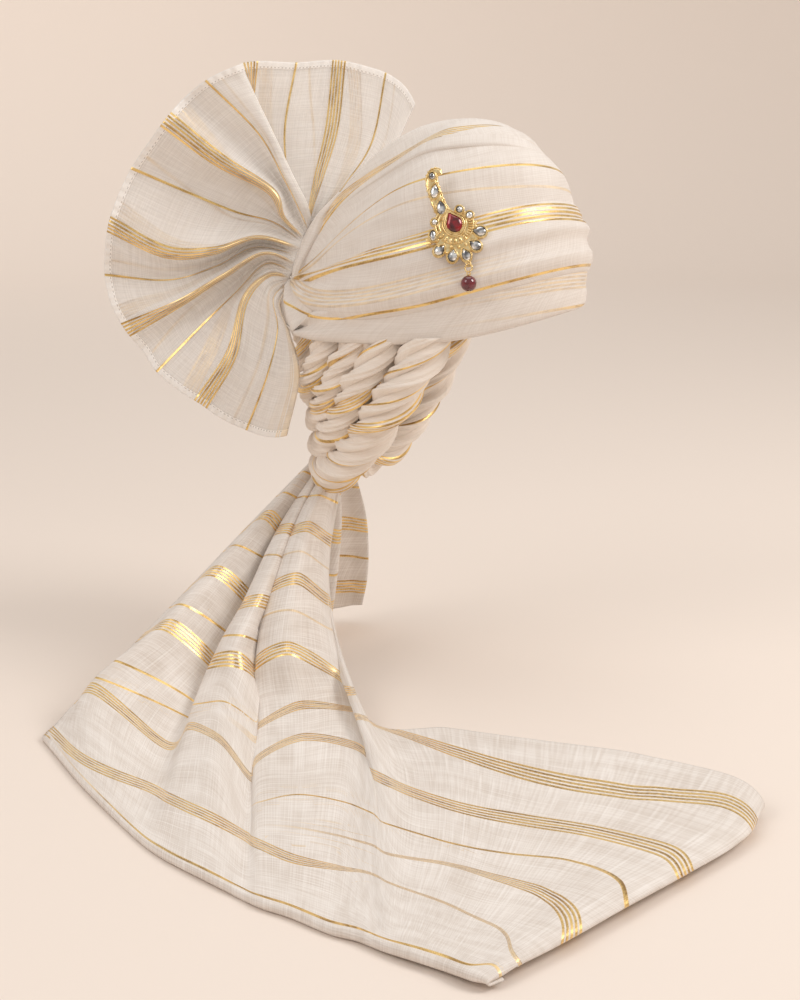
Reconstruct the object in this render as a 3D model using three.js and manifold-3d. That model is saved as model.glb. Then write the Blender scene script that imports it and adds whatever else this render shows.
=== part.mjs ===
// A tied turban: a crown of wound wraps over an inner turn of cloth, a pleated fan standing up from the knot,
// five twisted ropes of cloth looped under the back of the head, a long tail that falls from the nape and lies on
// the table, and a jewelled brooch with a bead drop. Millimetres, +Z up, the wearer looks along -Y and the wearer's
// left is +X. The origin is the middle of the head opening at the height of the brow.
import * as THREE from "three";
import { mergeVertices } from "three/addons/utils/BufferGeometryUtils.js";
import Module from "manifold-3d";

const wasm = await Module();
wasm.setup();

// Cloth
const CLOTH_WALL = 2.0;
const INNER_EASE = 1.0;

// Crown, measured over its inner turn of cloth
const CROWN_HALF_WIDTH = 84.5;
const CROWN_HALF_DEPTH = 107.5;
const CROWN_HEIGHT = 135.5;
const APEX_FORWARD = 30;
const RIM_TILT = 8 / 115;
const POLE_BACK = 80;
const POLE_HEIGHT = 27;
const POLE_CLEAR_DEG = 9;

// How square the crown's profile is towards each side: 2 is an ellipse, more is squarer.
const CROWN_PROFILES = [
  { bearing: -90, squareness: 2.3 },
  { bearing: 0, squareness: 2.1 },
  { bearing: 90, squareness: 1.8 },
  { bearing: 126, squareness: 1.6 },
  { bearing: 180, squareness: 2.0 },
  { bearing: 270, squareness: 2.3 },
];

// The wraps run from the knot pole to the other rear pole. Each edge is a turn about the line between the poles, in
// degrees up from the brow, given beside the poles and half way round. null is the rim of the crown. rest is how far
// the wrap lies off the inner turn, swell is how far it puffs out, and lapped edges pass under the next wrap.
const WRAPS = [
  { name: "brow_wrap", low: null, high: { pole: -9, middle: 11 }, rest: 1.6, swell: 3.5, rows: 4, lapped: true },
  { name: "middle_wrap", low: { pole: -16, middle: 5 }, high: { pole: 24, middle: 20 }, rest: 4.4, swell: 3.0, rows: 5 },
  { name: "upper_wrap", low: { pole: 18, middle: 14 }, high: { pole: 66, middle: 38 }, rest: 1.6, swell: 3.0, rows: 7, lapped: true },
  { name: "top_wrap", low: { pole: 60, middle: 33 }, high: { pole: 98, middle: 76 }, rest: 6.4, swell: 1.5, rows: 6 },
  { name: "back_wrap", low: { pole: 92, middle: 70 }, high: null, rest: 1.6, swell: 2.0, rows: 5, lapped: true },
];
const WRAP_STEPS = 26;
const WRAP_LAP_DEG = 7;

// Fan. Its face looks FACING_DEG round from the front, towards the wearer's right.
const FACING_DEG = -55;
const FAN_CENTRE = { across: -106.5, up: 30, out: -9.4 };
const FAN_THROAT_LOW = { across: -15, up: 1 };
const FAN_THROAT_HIGH = { across: 17, up: 38 };
const FAN_STEPS_PER_FOLD = 3;
const FAN_RINGS = 7;

// One row for each pleat line of the fan, from the lobe behind the crown round to the lobe below the knot. turn is its
// direction at the hem and half way out, in degrees from straight across; lean is how far it stands out of the fan's
// plane there.
const FAN_PLEATS = [
  { hemTurn: 54, reach: 157, hemLean: -44, midTurn: 56, midLean: -34 },
  { hemTurn: 66, reach: 164, hemLean: -50, midTurn: 66, midLean: -36 },
  { hemTurn: 77, reach: 159, hemLean: -42, midTurn: 77, midLean: -30 },
  { hemTurn: 88, reach: 154, hemLean: -40, midTurn: 88, midLean: -28 },
  { hemTurn: 99, reach: 156, hemLean: -24, midTurn: 100, midLean: -22 },
  { hemTurn: 102, reach: 158, hemLean: -4, midTurn: 96, midLean: 2 },
  { hemTurn: 109, reach: 157, hemLean: 2, midTurn: 98, midLean: 4 },
  { hemTurn: 117, reach: 154, hemLean: -4, midTurn: 101, midLean: -8 },
  { hemTurn: 128, reach: 146, hemLean: 6, midTurn: 108, midLean: 8 },
  { hemTurn: 146, reach: 140, hemLean: -5, midTurn: 134, midLean: -6 },
  { hemTurn: 165, reach: 137, hemLean: 4, midTurn: 158, midLean: 9 },
  { hemTurn: 181, reach: 134, hemLean: -4, midTurn: 174, midLean: -4 },
  { hemTurn: 197, reach: 124, hemLean: 6, midTurn: 189, midLean: 10 },
  { hemTurn: 209, reach: 119, hemLean: 2, midTurn: 203, midLean: -4 },
  { hemTurn: 222, reach: 114, hemLean: 20, midTurn: 224, midLean: 22 },
  { hemTurn: 240, reach: 111, hemLean: 26, midTurn: 241, midLean: 28 },
  { hemTurn: 254, reach: 110, hemLean: 28, midTurn: 258, midLean: 27 },
  { hemTurn: 268, reach: 115, hemLean: 36, midTurn: 271, midLean: 35 },
];

// The roll of cloth turned over at the knot, in the fan's own directions
const KNOT_ROLL_RADIUS = 5;
const KNOT_ROLL_PATH = [
  { across: -106.6, up: 22, out: 4 },
  { across: -103.6, up: 40, out: -3 },
  { across: -95.6, up: 57, out: -8 },
  { across: -88.2, up: 73, out: -11.5 },
  { across: -77.6, up: 88, out: -15.2 },
];

// Ropes, from the lowest up. Each hangs from the right temple round the nape and up behind the left ear; the reach to
// each side is counted from the middle of the back.
const ROPES = [
  { low: -113, rightDeg: 120, leftDeg: 72, radius: 10.6 },
  { low: -93.5, rightDeg: 103, leftDeg: 57, radius: 8.4 },
  { low: -75.6, rightDeg: 88, leftDeg: 43, radius: 8.4 },
  { low: -57.6, rightDeg: 72, leftDeg: 31, radius: 8.4 },
  { low: -39.0, rightDeg: 56, leftDeg: 17, radius: 8.2 },
];
const ROPE_HANG_POWER = 2.6;
const ROPE_TOP_GAP = 1.0;
const ROPE_STEPS = 22;
const ROPE_SIDES = 9;
const ROPE_STRANDS = 3;
const ROPE_FLUTE = 0.1;
const ROPE_LAY_LENGTH = 66;
const ROPE_RING_HALF_WIDTH = 80;
const ROPE_RING_HALF_DEPTH = 97;
const NAPE_DRAW_IN = { width: 14, depth: 22, from: 20, over: 95 };

// One row for each fold line of the tail, from its left edge to the end tucked under on the right. Each line is given
// where it starts, at its knee, where it meets the table and at the hem.
const TAIL_FOLDS = [
  { start: [-30, 85.6, -109], knee: [-115, 96, -152], foot: [-211, 102, -203], hem: [-303, 103, -246] },
  { start: [-25, 87.6, -111], knee: [-136, 70, -158], foot: [-222, 70, -212], hem: [-341, 31, -247] },
  { start: [-20, 86.8, -114], knee: [-150, 52, -180], foot: [-228, 43, -241], hem: [-379, -45, -247] },
  { start: [-16, 88.8, -114], knee: [-166, 30, -166], foot: [-253, 6, -218], hem: [-402, -109, -246] },
  { start: [-11, 86.8, -117], knee: [-150, 35, -186], foot: [-212, 6, -245], hem: [-406, -148, -247] },
  { start: [-7, 88.8, -117], knee: [-138, 19, -160], foot: [-205, -28, -222], hem: [-411, -186, -245] },
  { start: [-2, 86.8, -120], knee: [-88, 36, -182], foot: [-160, -26, -243], hem: [-411, -211, -247] },
  { start: [-70, 46, -188], knee: [-114, 8, -228], foot: [-190, -64, -246], hem: [-411, -229, -246] },
  { start: [-160, -54, -245], knee: [-236, -122, -244], foot: [-333, -190, -244], hem: [-412, -246, -246] },
  { start: [-148, -111, -240], knee: [-244, -165, -241], foot: [-333, -217, -243], hem: [-413, -264, -245] },
  { start: [-144, -192, -240], knee: [-254, -233, -240], foot: [-339, -259, -242], hem: [-415, -284, -244] },
  { start: [-136, -278, -241], knee: [-247, -290, -239], foot: [-341, -297, -240], hem: [-416, -300, -242] },
  { start: [-150, -338, -241], knee: [-256, -347, -240], foot: [-338, -338, -241], hem: [-417, -312, -242] },
  { start: [-157, -318, -247], knee: [-258, -326, -247], foot: [-338, -316, -247], hem: [-408, -293, -247] },
];
const TAIL_STEPS_PER_FOLD = 3;
const TAIL_ROWS = 9;

// Brooch, in its own plane: x across, y up, z out of the cloth, about the middle of the red stone
const BROOCH_SEAT = { across: 9, up: 78, out: 90.8 };
const BROOCH_LEAN_DEG = 19;
const PLATE_THICKNESS = 1.6;
const ROSETTE = { x: 1.9, y: -7.5, radius: 15 };
const COLLET_WALL = 0.9;
const COLLET_HEIGHT = 3.0;
const STONE_GAP = 0.3;
const STONE_SIDES = 8;
const STEM_HALF_WIDTH = 1.5;
const STEM_LINE = [
  { x: -4, y: 4 },
  { x: -8.5, y: 9.9 },
  { x: -12.8, y: 21.1 },
  { x: -14.4, y: 31.7 },
  { x: -13.6, y: 37 },
  { x: -10, y: 39 },
  { x: -6.6, y: 36.4 },
];
const STONES = [
  { name: "red_stone", x: 0, y: 0, halfWidth: 5.3, halfLength: 6.6, pointed: 0.45, turn: 28 },
  { name: "stem_stone_1", x: -8.5, y: 9.9, halfWidth: 3.2, halfLength: 4.5, pointed: 0, turn: 8 },
  { name: "stem_stone_2", x: -12.8, y: 21.1, halfWidth: 3.0, halfLength: 4.4, pointed: 0, turn: 6 },
  { name: "stem_stone_3", x: -14.4, y: 31.7, halfWidth: 2.1, halfLength: 2.4, pointed: 0, turn: 0 },
  { name: "rim_stone_1", x: 3.7, y: 9.2, halfWidth: 2.2, halfLength: 2.2, pointed: 0, turn: 0 },
  { name: "rim_stone_2", x: 10.2, y: 5.3, halfWidth: 2.3, halfLength: 2.5, pointed: 0, turn: -40 },
  { name: "rim_stone_3", x: 17.2, y: -5.6, halfWidth: 3.4, halfLength: 4.2, pointed: 0.35, turn: 84 },
  { name: "rim_stone_4", x: 14.2, y: -15, halfWidth: 3.3, halfLength: 4.0, pointed: 0.35, turn: 58 },
  { name: "rim_stone_5", x: 8, y: -21.6, halfWidth: 3.0, halfLength: 4.0, pointed: 0.35, turn: 24 },
  { name: "rim_stone_6", x: -0.9, y: -22.2, halfWidth: 3.2, halfLength: 3.9, pointed: 0.35, turn: -10 },
  { name: "rim_stone_7", x: -9.6, y: -18.4, halfWidth: 3.2, halfLength: 3.9, pointed: 0.35, turn: -46 },
  { name: "rim_stone_8", x: -13.8, y: -8.6, halfWidth: 2.2, halfLength: 3.6, pointed: 0, turn: 0 },
  { name: "rim_stone_9", x: -12.6, y: 0.6, halfWidth: 2.0, halfLength: 2.1, pointed: 0, turn: 0 },
];
const EYE = { x: 9.6, y: -27.6, z: 2.6, radius: 1.5, wire: 0.5 };
const JUMP_RING = { radius: 2.6, wire: 0.45 };
const BEAD_RADIUS = 5.3;
const BEAD_BORE = 0.95;
const DROP_PIN_RADIUS = 0.55;
const DROP_OUT = 2.6;
const PIN_BAR = { radius: 0.6, length: 34, turn: 22, behind: 0.95 };

const IVORY = { color: 0xe8dfcd, roughness: 0.72, metalness: 0 };
const GOLD = { color: 0xb98a3e, roughness: 0.32, metalness: 1 };
const CLEAR = { color: 0xc9ccca, roughness: 0.08, metalness: 0 };
const RED = { color: 0x8c1022, roughness: 0.1, metalness: 0 };
const BEAD_RED = { color: 0xb0212f, roughness: 0.25, metalness: 0 };

const turban = new THREE.Group();
turban.name = "turban";
const radians = THREE.MathUtils.degToRad;
const lerp = THREE.MathUtils.lerp;
const up = new THREE.Vector3(0, 0, 1);

// Directions of the fan: across it, and out of its face.
const facing = radians(FACING_DEG);
const across = new THREE.Vector3(Math.cos(facing), Math.sin(facing), 0);
const out = new THREE.Vector3(Math.sin(facing), -Math.cos(facing), 0);

function addMesh(name, geometry, finish) {
  const mesh = new THREE.Mesh(geometry, new THREE.MeshStandardMaterial(finish));
  mesh.name = name;
  turban.add(mesh);
}

// Moves every vertex of a geometry to place(x, y, z), then joins the vertices that meet.
function reshaped(geometry, place) {
  geometry.deleteAttribute("normal");
  geometry.deleteAttribute("uv");
  const position = geometry.getAttribute("position");
  for (let i = 0; i < position.count; i++) {
    const p = place(position.getX(i), position.getY(i), position.getZ(i));
    position.setXYZ(i, p.x, p.y, p.z);
  }
  return mergeVertices(geometry, 1e-4);
}

function normalOf(surface, u, v) {
  const step = 0.004;
  const u0 = Math.max(u - step, 0);
  const u1 = Math.min(u + step, 1);
  const v0 = Math.max(v - step, 0);
  const v1 = Math.min(v + step, 1);
  const along = surface(u1, v).sub(surface(u0, v));
  return along.cross(surface(u, v1).sub(surface(u, v0))).normalize();
}

// A closed wall of cloth, half its thickness on each side of surface(u, v).
function clothWall(surface, uSteps, vSteps) {
  return reshaped(new THREE.BoxGeometry(1, 1, 1, uSteps, vSteps, 1), (x, y, z) => {
    const u = x + 0.5;
    const v = y + 0.5;
    return surface(u, v).addScaledVector(normalOf(surface, u, v), z * CLOTH_WALL);
  });
}

function toSolid(geometry) {
  const bare = new THREE.BufferGeometry();
  bare.setAttribute("position", geometry.getAttribute("position"));
  bare.setIndex(geometry.index);
  const merged = mergeVertices(bare, 1e-4);
  return new wasm.Manifold(
    new wasm.Mesh({
      numProp: 3,
      vertProperties: new Float32Array(merged.getAttribute("position").array),
      triVerts: new Uint32Array(merged.index.array),
    }),
  );
}

function toGeometry(solid) {
  const mesh = solid.getMesh();
  const geometry = new THREE.BufferGeometry();
  geometry.setAttribute("position", new THREE.BufferAttribute(mesh.vertProperties, 3));
  geometry.setIndex(new THREE.BufferAttribute(mesh.triVerts, 1));
  return geometry;
}

// A value between table rows by a smooth curve through them; at runs from 0 to 1 along the rows.
function rowValue(rows, at, read) {
  const place = at * (rows.length - 1);
  const i = Math.min(Math.floor(place), rows.length - 2);
  const t = place - i;
  const p1 = read(rows[i]);
  const p2 = read(rows[i + 1]);
  const p0 = i > 0 ? read(rows[i - 1]) : 2 * p1 - p2;
  const p3 = i + 2 < rows.length ? read(rows[i + 2]) : 2 * p2 - p1;
  const m1 = (p2 - p0) / 2;
  const m2 = (p3 - p1) / 2;
  const t2 = t * t;
  const t3 = t2 * t;
  return (2 * t3 - 3 * t2 + 1) * p1 + (t3 - 2 * t2 + t) * m1 + (3 * t2 - 2 * t3) * p2 + (t3 - t2) * m2;
}

// Crown

function squarenessAt(bearing) {
  const deg = THREE.MathUtils.euclideanModulo(THREE.MathUtils.radToDeg(bearing) + 90, 360) - 90;
  const i = CROWN_PROFILES.findLastIndex((row) => row.bearing <= deg);
  const [a, b] = [CROWN_PROFILES[i], CROWN_PROFILES[Math.min(i + 1, CROWN_PROFILES.length - 1)]];
  const share = a === b ? 0 : (deg - a.bearing) / (b.bearing - a.bearing);
  return lerp(a.squareness, b.squareness, 0.5 - 0.5 * Math.cos(Math.PI * share));
}

// The crown's rim seen from above along a bearing from the apex: how far away it is, and how high.
function rimAt(bearing, inset) {
  const cx = Math.cos(bearing) / (CROWN_HALF_WIDTH - inset);
  const cy = Math.sin(bearing) / (CROWN_HALF_DEPTH - inset);
  const oy = -APEX_FORWARD / (CROWN_HALF_DEPTH - inset);
  const a = cx * cx + cy * cy;
  const b = oy * cy;
  const reach = (-b + Math.sqrt(b * b - a * (oy * oy - 1))) / a;
  return { reach, height: -RIM_TILT * (reach * Math.sin(bearing) - APEX_FORWARD) };
}

// 1 on the crown's inner turn, less inside it and more outside.
function crownLevel(p) {
  const dy = p.y + APEX_FORWARD;
  const bearing = Math.atan2(dy, p.x);
  const rim = rimAt(bearing, 0);
  const n = squarenessAt(bearing);
  const outward = Math.hypot(p.x, dy) / rim.reach;
  const upward = Math.max((p.z - rim.height) / (CROWN_HEIGHT - rim.height), 0);
  return Math.pow(Math.pow(outward, n) + Math.pow(upward, n), 1 / n);
}

function crownNormal(p) {
  const step = 0.5;
  const slope = (axis) => {
    const a = p.clone();
    const b = p.clone();
    a[axis] += step;
    b[axis] -= step;
    return crownLevel(a) - crownLevel(b);
  };
  return new THREE.Vector3(slope("x"), slope("y"), slope("z")).normalize();
}

// The point of the inner turn seen from between the poles: sweep runs 0 to 180 from the knot pole to the other, and
// turn is the wrap angle about the line between them.
function crownPoint(sweepDeg, turnDeg) {
  const sweep = radians(sweepDeg);
  const turn = radians(turnDeg);
  const ray = new THREE.Vector3(
    -Math.cos(sweep),
    -Math.sin(sweep) * Math.cos(turn),
    Math.sin(sweep) * Math.sin(turn),
  );
  const from = new THREE.Vector3(0, POLE_BACK, POLE_HEIGHT);
  let near = 0;
  let far = 320;
  for (let i = 0; i < 40; i++) {
    const mid = (near + far) / 2;
    if (crownLevel(from.clone().addScaledVector(ray, mid)) < 1) near = mid;
    else far = mid;
  }
  return from.addScaledVector(ray, near);
}

// The wrap angle at which a sweep meets the rim, looking from straight up towards the front or the back.
function rimTurn(sweepDeg, towardsBack) {
  const lowest = towardsBack ? 268 : -88;
  let high = towardsBack ? 120 : 20;
  let low = lowest;
  for (let i = 0; i < 30; i++) {
    const mid = (low + high) / 2;
    const p = crownPoint(sweepDeg, mid);
    if (p.z > -RIM_TILT * p.y) high = mid;
    else low = mid;
  }
  return high;
}

function edgeTurn(edge, sweepDeg, towardsBack) {
  if (edge === null) return rimTurn(sweepDeg, towardsBack);
  return lerp(edge.pole, edge.middle, Math.pow(Math.sin(radians(sweepDeg)), 0.7));
}

function buildCrown() {
  const rings = 6;
  const profile = [];
  for (let i = 0; i <= rings; i++) profile.push(new THREE.Vector2(1 - i / rings, 1));
  for (let i = rings; i >= 0; i--) profile.push(new THREE.Vector2(1 - i / rings, 0));
  profile.push(profile[0].clone());
  const cap = reshaped(new THREE.LatheGeometry(profile, 28), (x, y, z) => {
    const bearing = Math.atan2(z, x);
    const inset = INNER_EASE + y * CLOTH_WALL;
    const latitude = radians(90 * Math.max(1 - Math.hypot(x, z), 0));
    const rim = rimAt(bearing, inset);
    const power = 2 / squarenessAt(bearing);
    const reach = rim.reach * Math.pow(Math.max(Math.cos(latitude), 0), power);
    const height = lerp(rim.height, CROWN_HEIGHT - inset, Math.pow(Math.sin(latitude), power));
    return new THREE.Vector3(reach * Math.cos(bearing), reach * Math.sin(bearing) - APEX_FORWARD, height);
  });
  addMesh("inner_turn", cap, IVORY);

  for (const wrap of WRAPS) {
    const surface = (u, v) => {
      const sweep = lerp(POLE_CLEAR_DEG, 180 - POLE_CLEAR_DEG, u);
      const low = edgeTurn(wrap.low, sweep, false);
      const high = edgeTurn(wrap.high, sweep, true);
      const lapLow = wrap.lapped && wrap.low !== null ? 1 / wrap.rows : 0;
      const lapHigh = wrap.lapped && wrap.high !== null ? 1 / wrap.rows : 0;
      const share = (v - lapLow) / (1 - lapLow - lapHigh);
      const bareLow = low + (lapLow ? WRAP_LAP_DEG : 0);
      const bareHigh = high - (lapHigh ? WRAP_LAP_DEG : 0);
      let turn = lerp(bareLow, bareHigh, share);
      if (share < 0) turn = lerp(low, bareLow, v / lapLow);
      if (share > 1) turn = lerp(bareHigh, high, (v - 1 + lapHigh) / lapHigh);
      const p = crownPoint(sweep, turn);
      const rise = Math.sin(Math.PI * THREE.MathUtils.clamp(share, 0, 1));
      const puff = wrap.swell * rise * Math.pow(Math.sin(radians(sweep)), 1.2);
      return p.addScaledVector(crownNormal(p), wrap.rest + CLOTH_WALL / 2 + puff);
    };
    addMesh(wrap.name, clothWall(surface, WRAP_STEPS, wrap.rows), IVORY);
  }
}

// Fan

function fanPoint(a, b, c) {
  return across.clone().multiplyScalar(a).addScaledVector(up, b).addScaledVector(out, c);
}

function buildFan() {
  const surface = (u, v) => {
    const value = (column) => rowValue(FAN_PLEATS, u, (row) => row[column]);
    const reach = value("reach");
    const hem = radians(value("hemTurn"));
    const mid = radians(value("midTurn"));
    const throat = {
      across: lerp(FAN_THROAT_HIGH.across, FAN_THROAT_LOW.across, u),
      up: lerp(FAN_THROAT_HIGH.up, FAN_THROAT_LOW.up, u),
    };
    const blend = (start, middle, end) => {
      const knee = 2 * middle - (start + end) / 2;
      return (1 - v) * (1 - v) * start + 2 * v * (1 - v) * knee + v * v * end;
    };
    const halfReach = reach * 0.55;
    return fanPoint(
      FAN_CENTRE.across + blend(throat.across, halfReach * Math.cos(mid), reach * Math.cos(hem)),
      FAN_CENTRE.up + blend(throat.up, halfReach * Math.sin(mid), reach * Math.sin(hem)),
      FAN_CENTRE.out + blend(lerp(-8, 6, u), value("midLean"), value("hemLean")),
    );
  };
  const steps = (FAN_PLEATS.length - 1) * FAN_STEPS_PER_FOLD;
  addMesh("fan", clothWall(surface, steps, FAN_RINGS), IVORY);
}

// A closed roll round a line; radiusAt(along, around) gives its thickness, with along in millimetres.
function roll(curve, steps, sides, radiusAt) {
  const length = curve.getLength();
  const frames = [];
  for (let i = 0; i <= steps; i++) {
    const point = curve.getPointAt(i / steps);
    const tangent = curve.getTangentAt(i / steps);
    const side = new THREE.Vector3().crossVectors(tangent, up).normalize();
    frames.push({ point, side, lift: new THREE.Vector3().crossVectors(side, tangent).normalize() });
  }
  return reshaped(new THREE.CylinderGeometry(1, 1, 1, sides, steps), (x, y, z) => {
    const at = Math.round((y + 0.5) * steps);
    const frame = frames[at];
    const share = Math.hypot(x, z);
    const around = Math.atan2(z, x);
    const radius = share < 0.5 ? 0 : radiusAt((at / steps) * length, around);
    return frame.point
      .clone()
      .addScaledVector(frame.side, radius * Math.cos(around))
      .addScaledVector(frame.lift, radius * Math.sin(around));
  });
}

function buildKnotRoll() {
  const line = new THREE.CatmullRomCurve3(KNOT_ROLL_PATH.map((p) => fanPoint(p.across, p.up, p.out)));
  const length = line.getLength();
  const radiusAt = (along) => KNOT_ROLL_RADIUS * (0.55 + 0.45 * Math.sin(Math.PI * Math.min(along / length + 0.08, 1)));
  addMesh("knot_roll", roll(line, 10, 8, radiusAt), IVORY);
}

// Ropes

function buildRopes() {
  ROPES.forEach((rope, i) => {
    const points = [];
    const spread = 1.1;
    for (let k = 0; k <= 40; k++) {
      const share = lerp(-spread, spread, k / 40);
      const z = lerp(rope.low, -6, Math.pow(Math.abs(share), ROPE_HANG_POWER));
      const drawn = THREE.MathUtils.smoothstep(-z, NAPE_DRAW_IN.from, NAPE_DRAW_IN.from + NAPE_DRAW_IN.over);
      const halfWidth = ROPE_RING_HALF_WIDTH - NAPE_DRAW_IN.width * drawn;
      const halfDepth = ROPE_RING_HALF_DEPTH - NAPE_DRAW_IN.depth * drawn;
      const bearing = radians(share < 0 ? rope.rightDeg : rope.leftDeg) * share;
      points.push(new THREE.Vector3(halfWidth * Math.sin(bearing), halfDepth * Math.cos(bearing), z));
    }
    const radiusAt = (along, around) => {
      const phase = ROPE_STRANDS * (around + (2 * Math.PI * along) / ROPE_LAY_LENGTH);
      return rope.radius * (1 - ROPE_FLUTE + ROPE_FLUTE * Math.cos(phase));
    };
    const whole = toSolid(roll(new THREE.CatmullRomCurve3(points), ROPE_STEPS, ROPE_SIDES, radiusAt));
    const under = new THREE.Vector3(0, -RIM_TILT, -1).normalize();
    const cut = whole.trimByPlane(under.toArray(), ROPE_TOP_GAP);
    addMesh(`nape_rope_${i + 1}`, toGeometry(cut), IVORY);
  });
}

// Tail

function buildTail() {
  const stations = ["start", "knee", "foot", "hem"];
  const surface = (u, v) => {
    const line = stations.map((station) => ({
      at: [0, 1, 2].map((axis) => rowValue(TAIL_FOLDS, u, (row) => row[station][axis])),
    }));
    return new THREE.Vector3(...[0, 1, 2].map((axis) => rowValue(line, v, (station) => station.at[axis])));
  };
  const steps = (TAIL_FOLDS.length - 1) * TAIL_STEPS_PER_FOLD;
  addMesh("tail", clothWall(surface, steps, TAIL_ROWS), IVORY);
}

// Brooch

const broochFrame = (() => {
  const lean = radians(BROOCH_LEAN_DEG);
  const face = out.clone().multiplyScalar(Math.cos(lean)).addScaledVector(up, Math.sin(lean));
  const rise = up.clone().multiplyScalar(Math.cos(lean)).addScaledVector(out, -Math.sin(lean));
  const frame = new THREE.Matrix4().makeBasis(across, rise, face);
  return frame.setPosition(fanPoint(BROOCH_SEAT.across, BROOCH_SEAT.up, BROOCH_SEAT.out));
})();

// How far a stone's girdle is from its middle at an angle; pointed draws its upper end to a tip.
function stoneRadius(stone, angle, grow) {
  const a = stone.halfWidth + grow;
  const b = stone.halfLength + grow;
  const round = (a * b) / Math.hypot(b * Math.cos(angle), a * Math.sin(angle));
  const upward = Math.max(Math.sin(angle), 0);
  const narrow = stone.pointed * upward * (1 - upward);
  return round * (1 - narrow);
}

function stoneOutline(stone, grow, sides) {
  const points = [];
  for (let i = 0; i < sides; i++) {
    const angle = Math.PI / 2 + (2 * Math.PI * i) / sides;
    const radius = stoneRadius(stone, angle, grow);
    const turned = angle + radians(stone.turn);
    points.push(new THREE.Vector2(stone.x + radius * Math.cos(turned), stone.y + radius * Math.sin(turned)));
  }
  return points;
}

function slab(shape, bottom, height) {
  const geometry = new THREE.ExtrudeGeometry(shape, { depth: height, bevelEnabled: false });
  return toSolid(geometry.translate(0, 0, bottom));
}

function ringGeometry(radius, wire, sides) {
  return new THREE.TorusGeometry(radius, wire, 6, sides);
}

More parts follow.
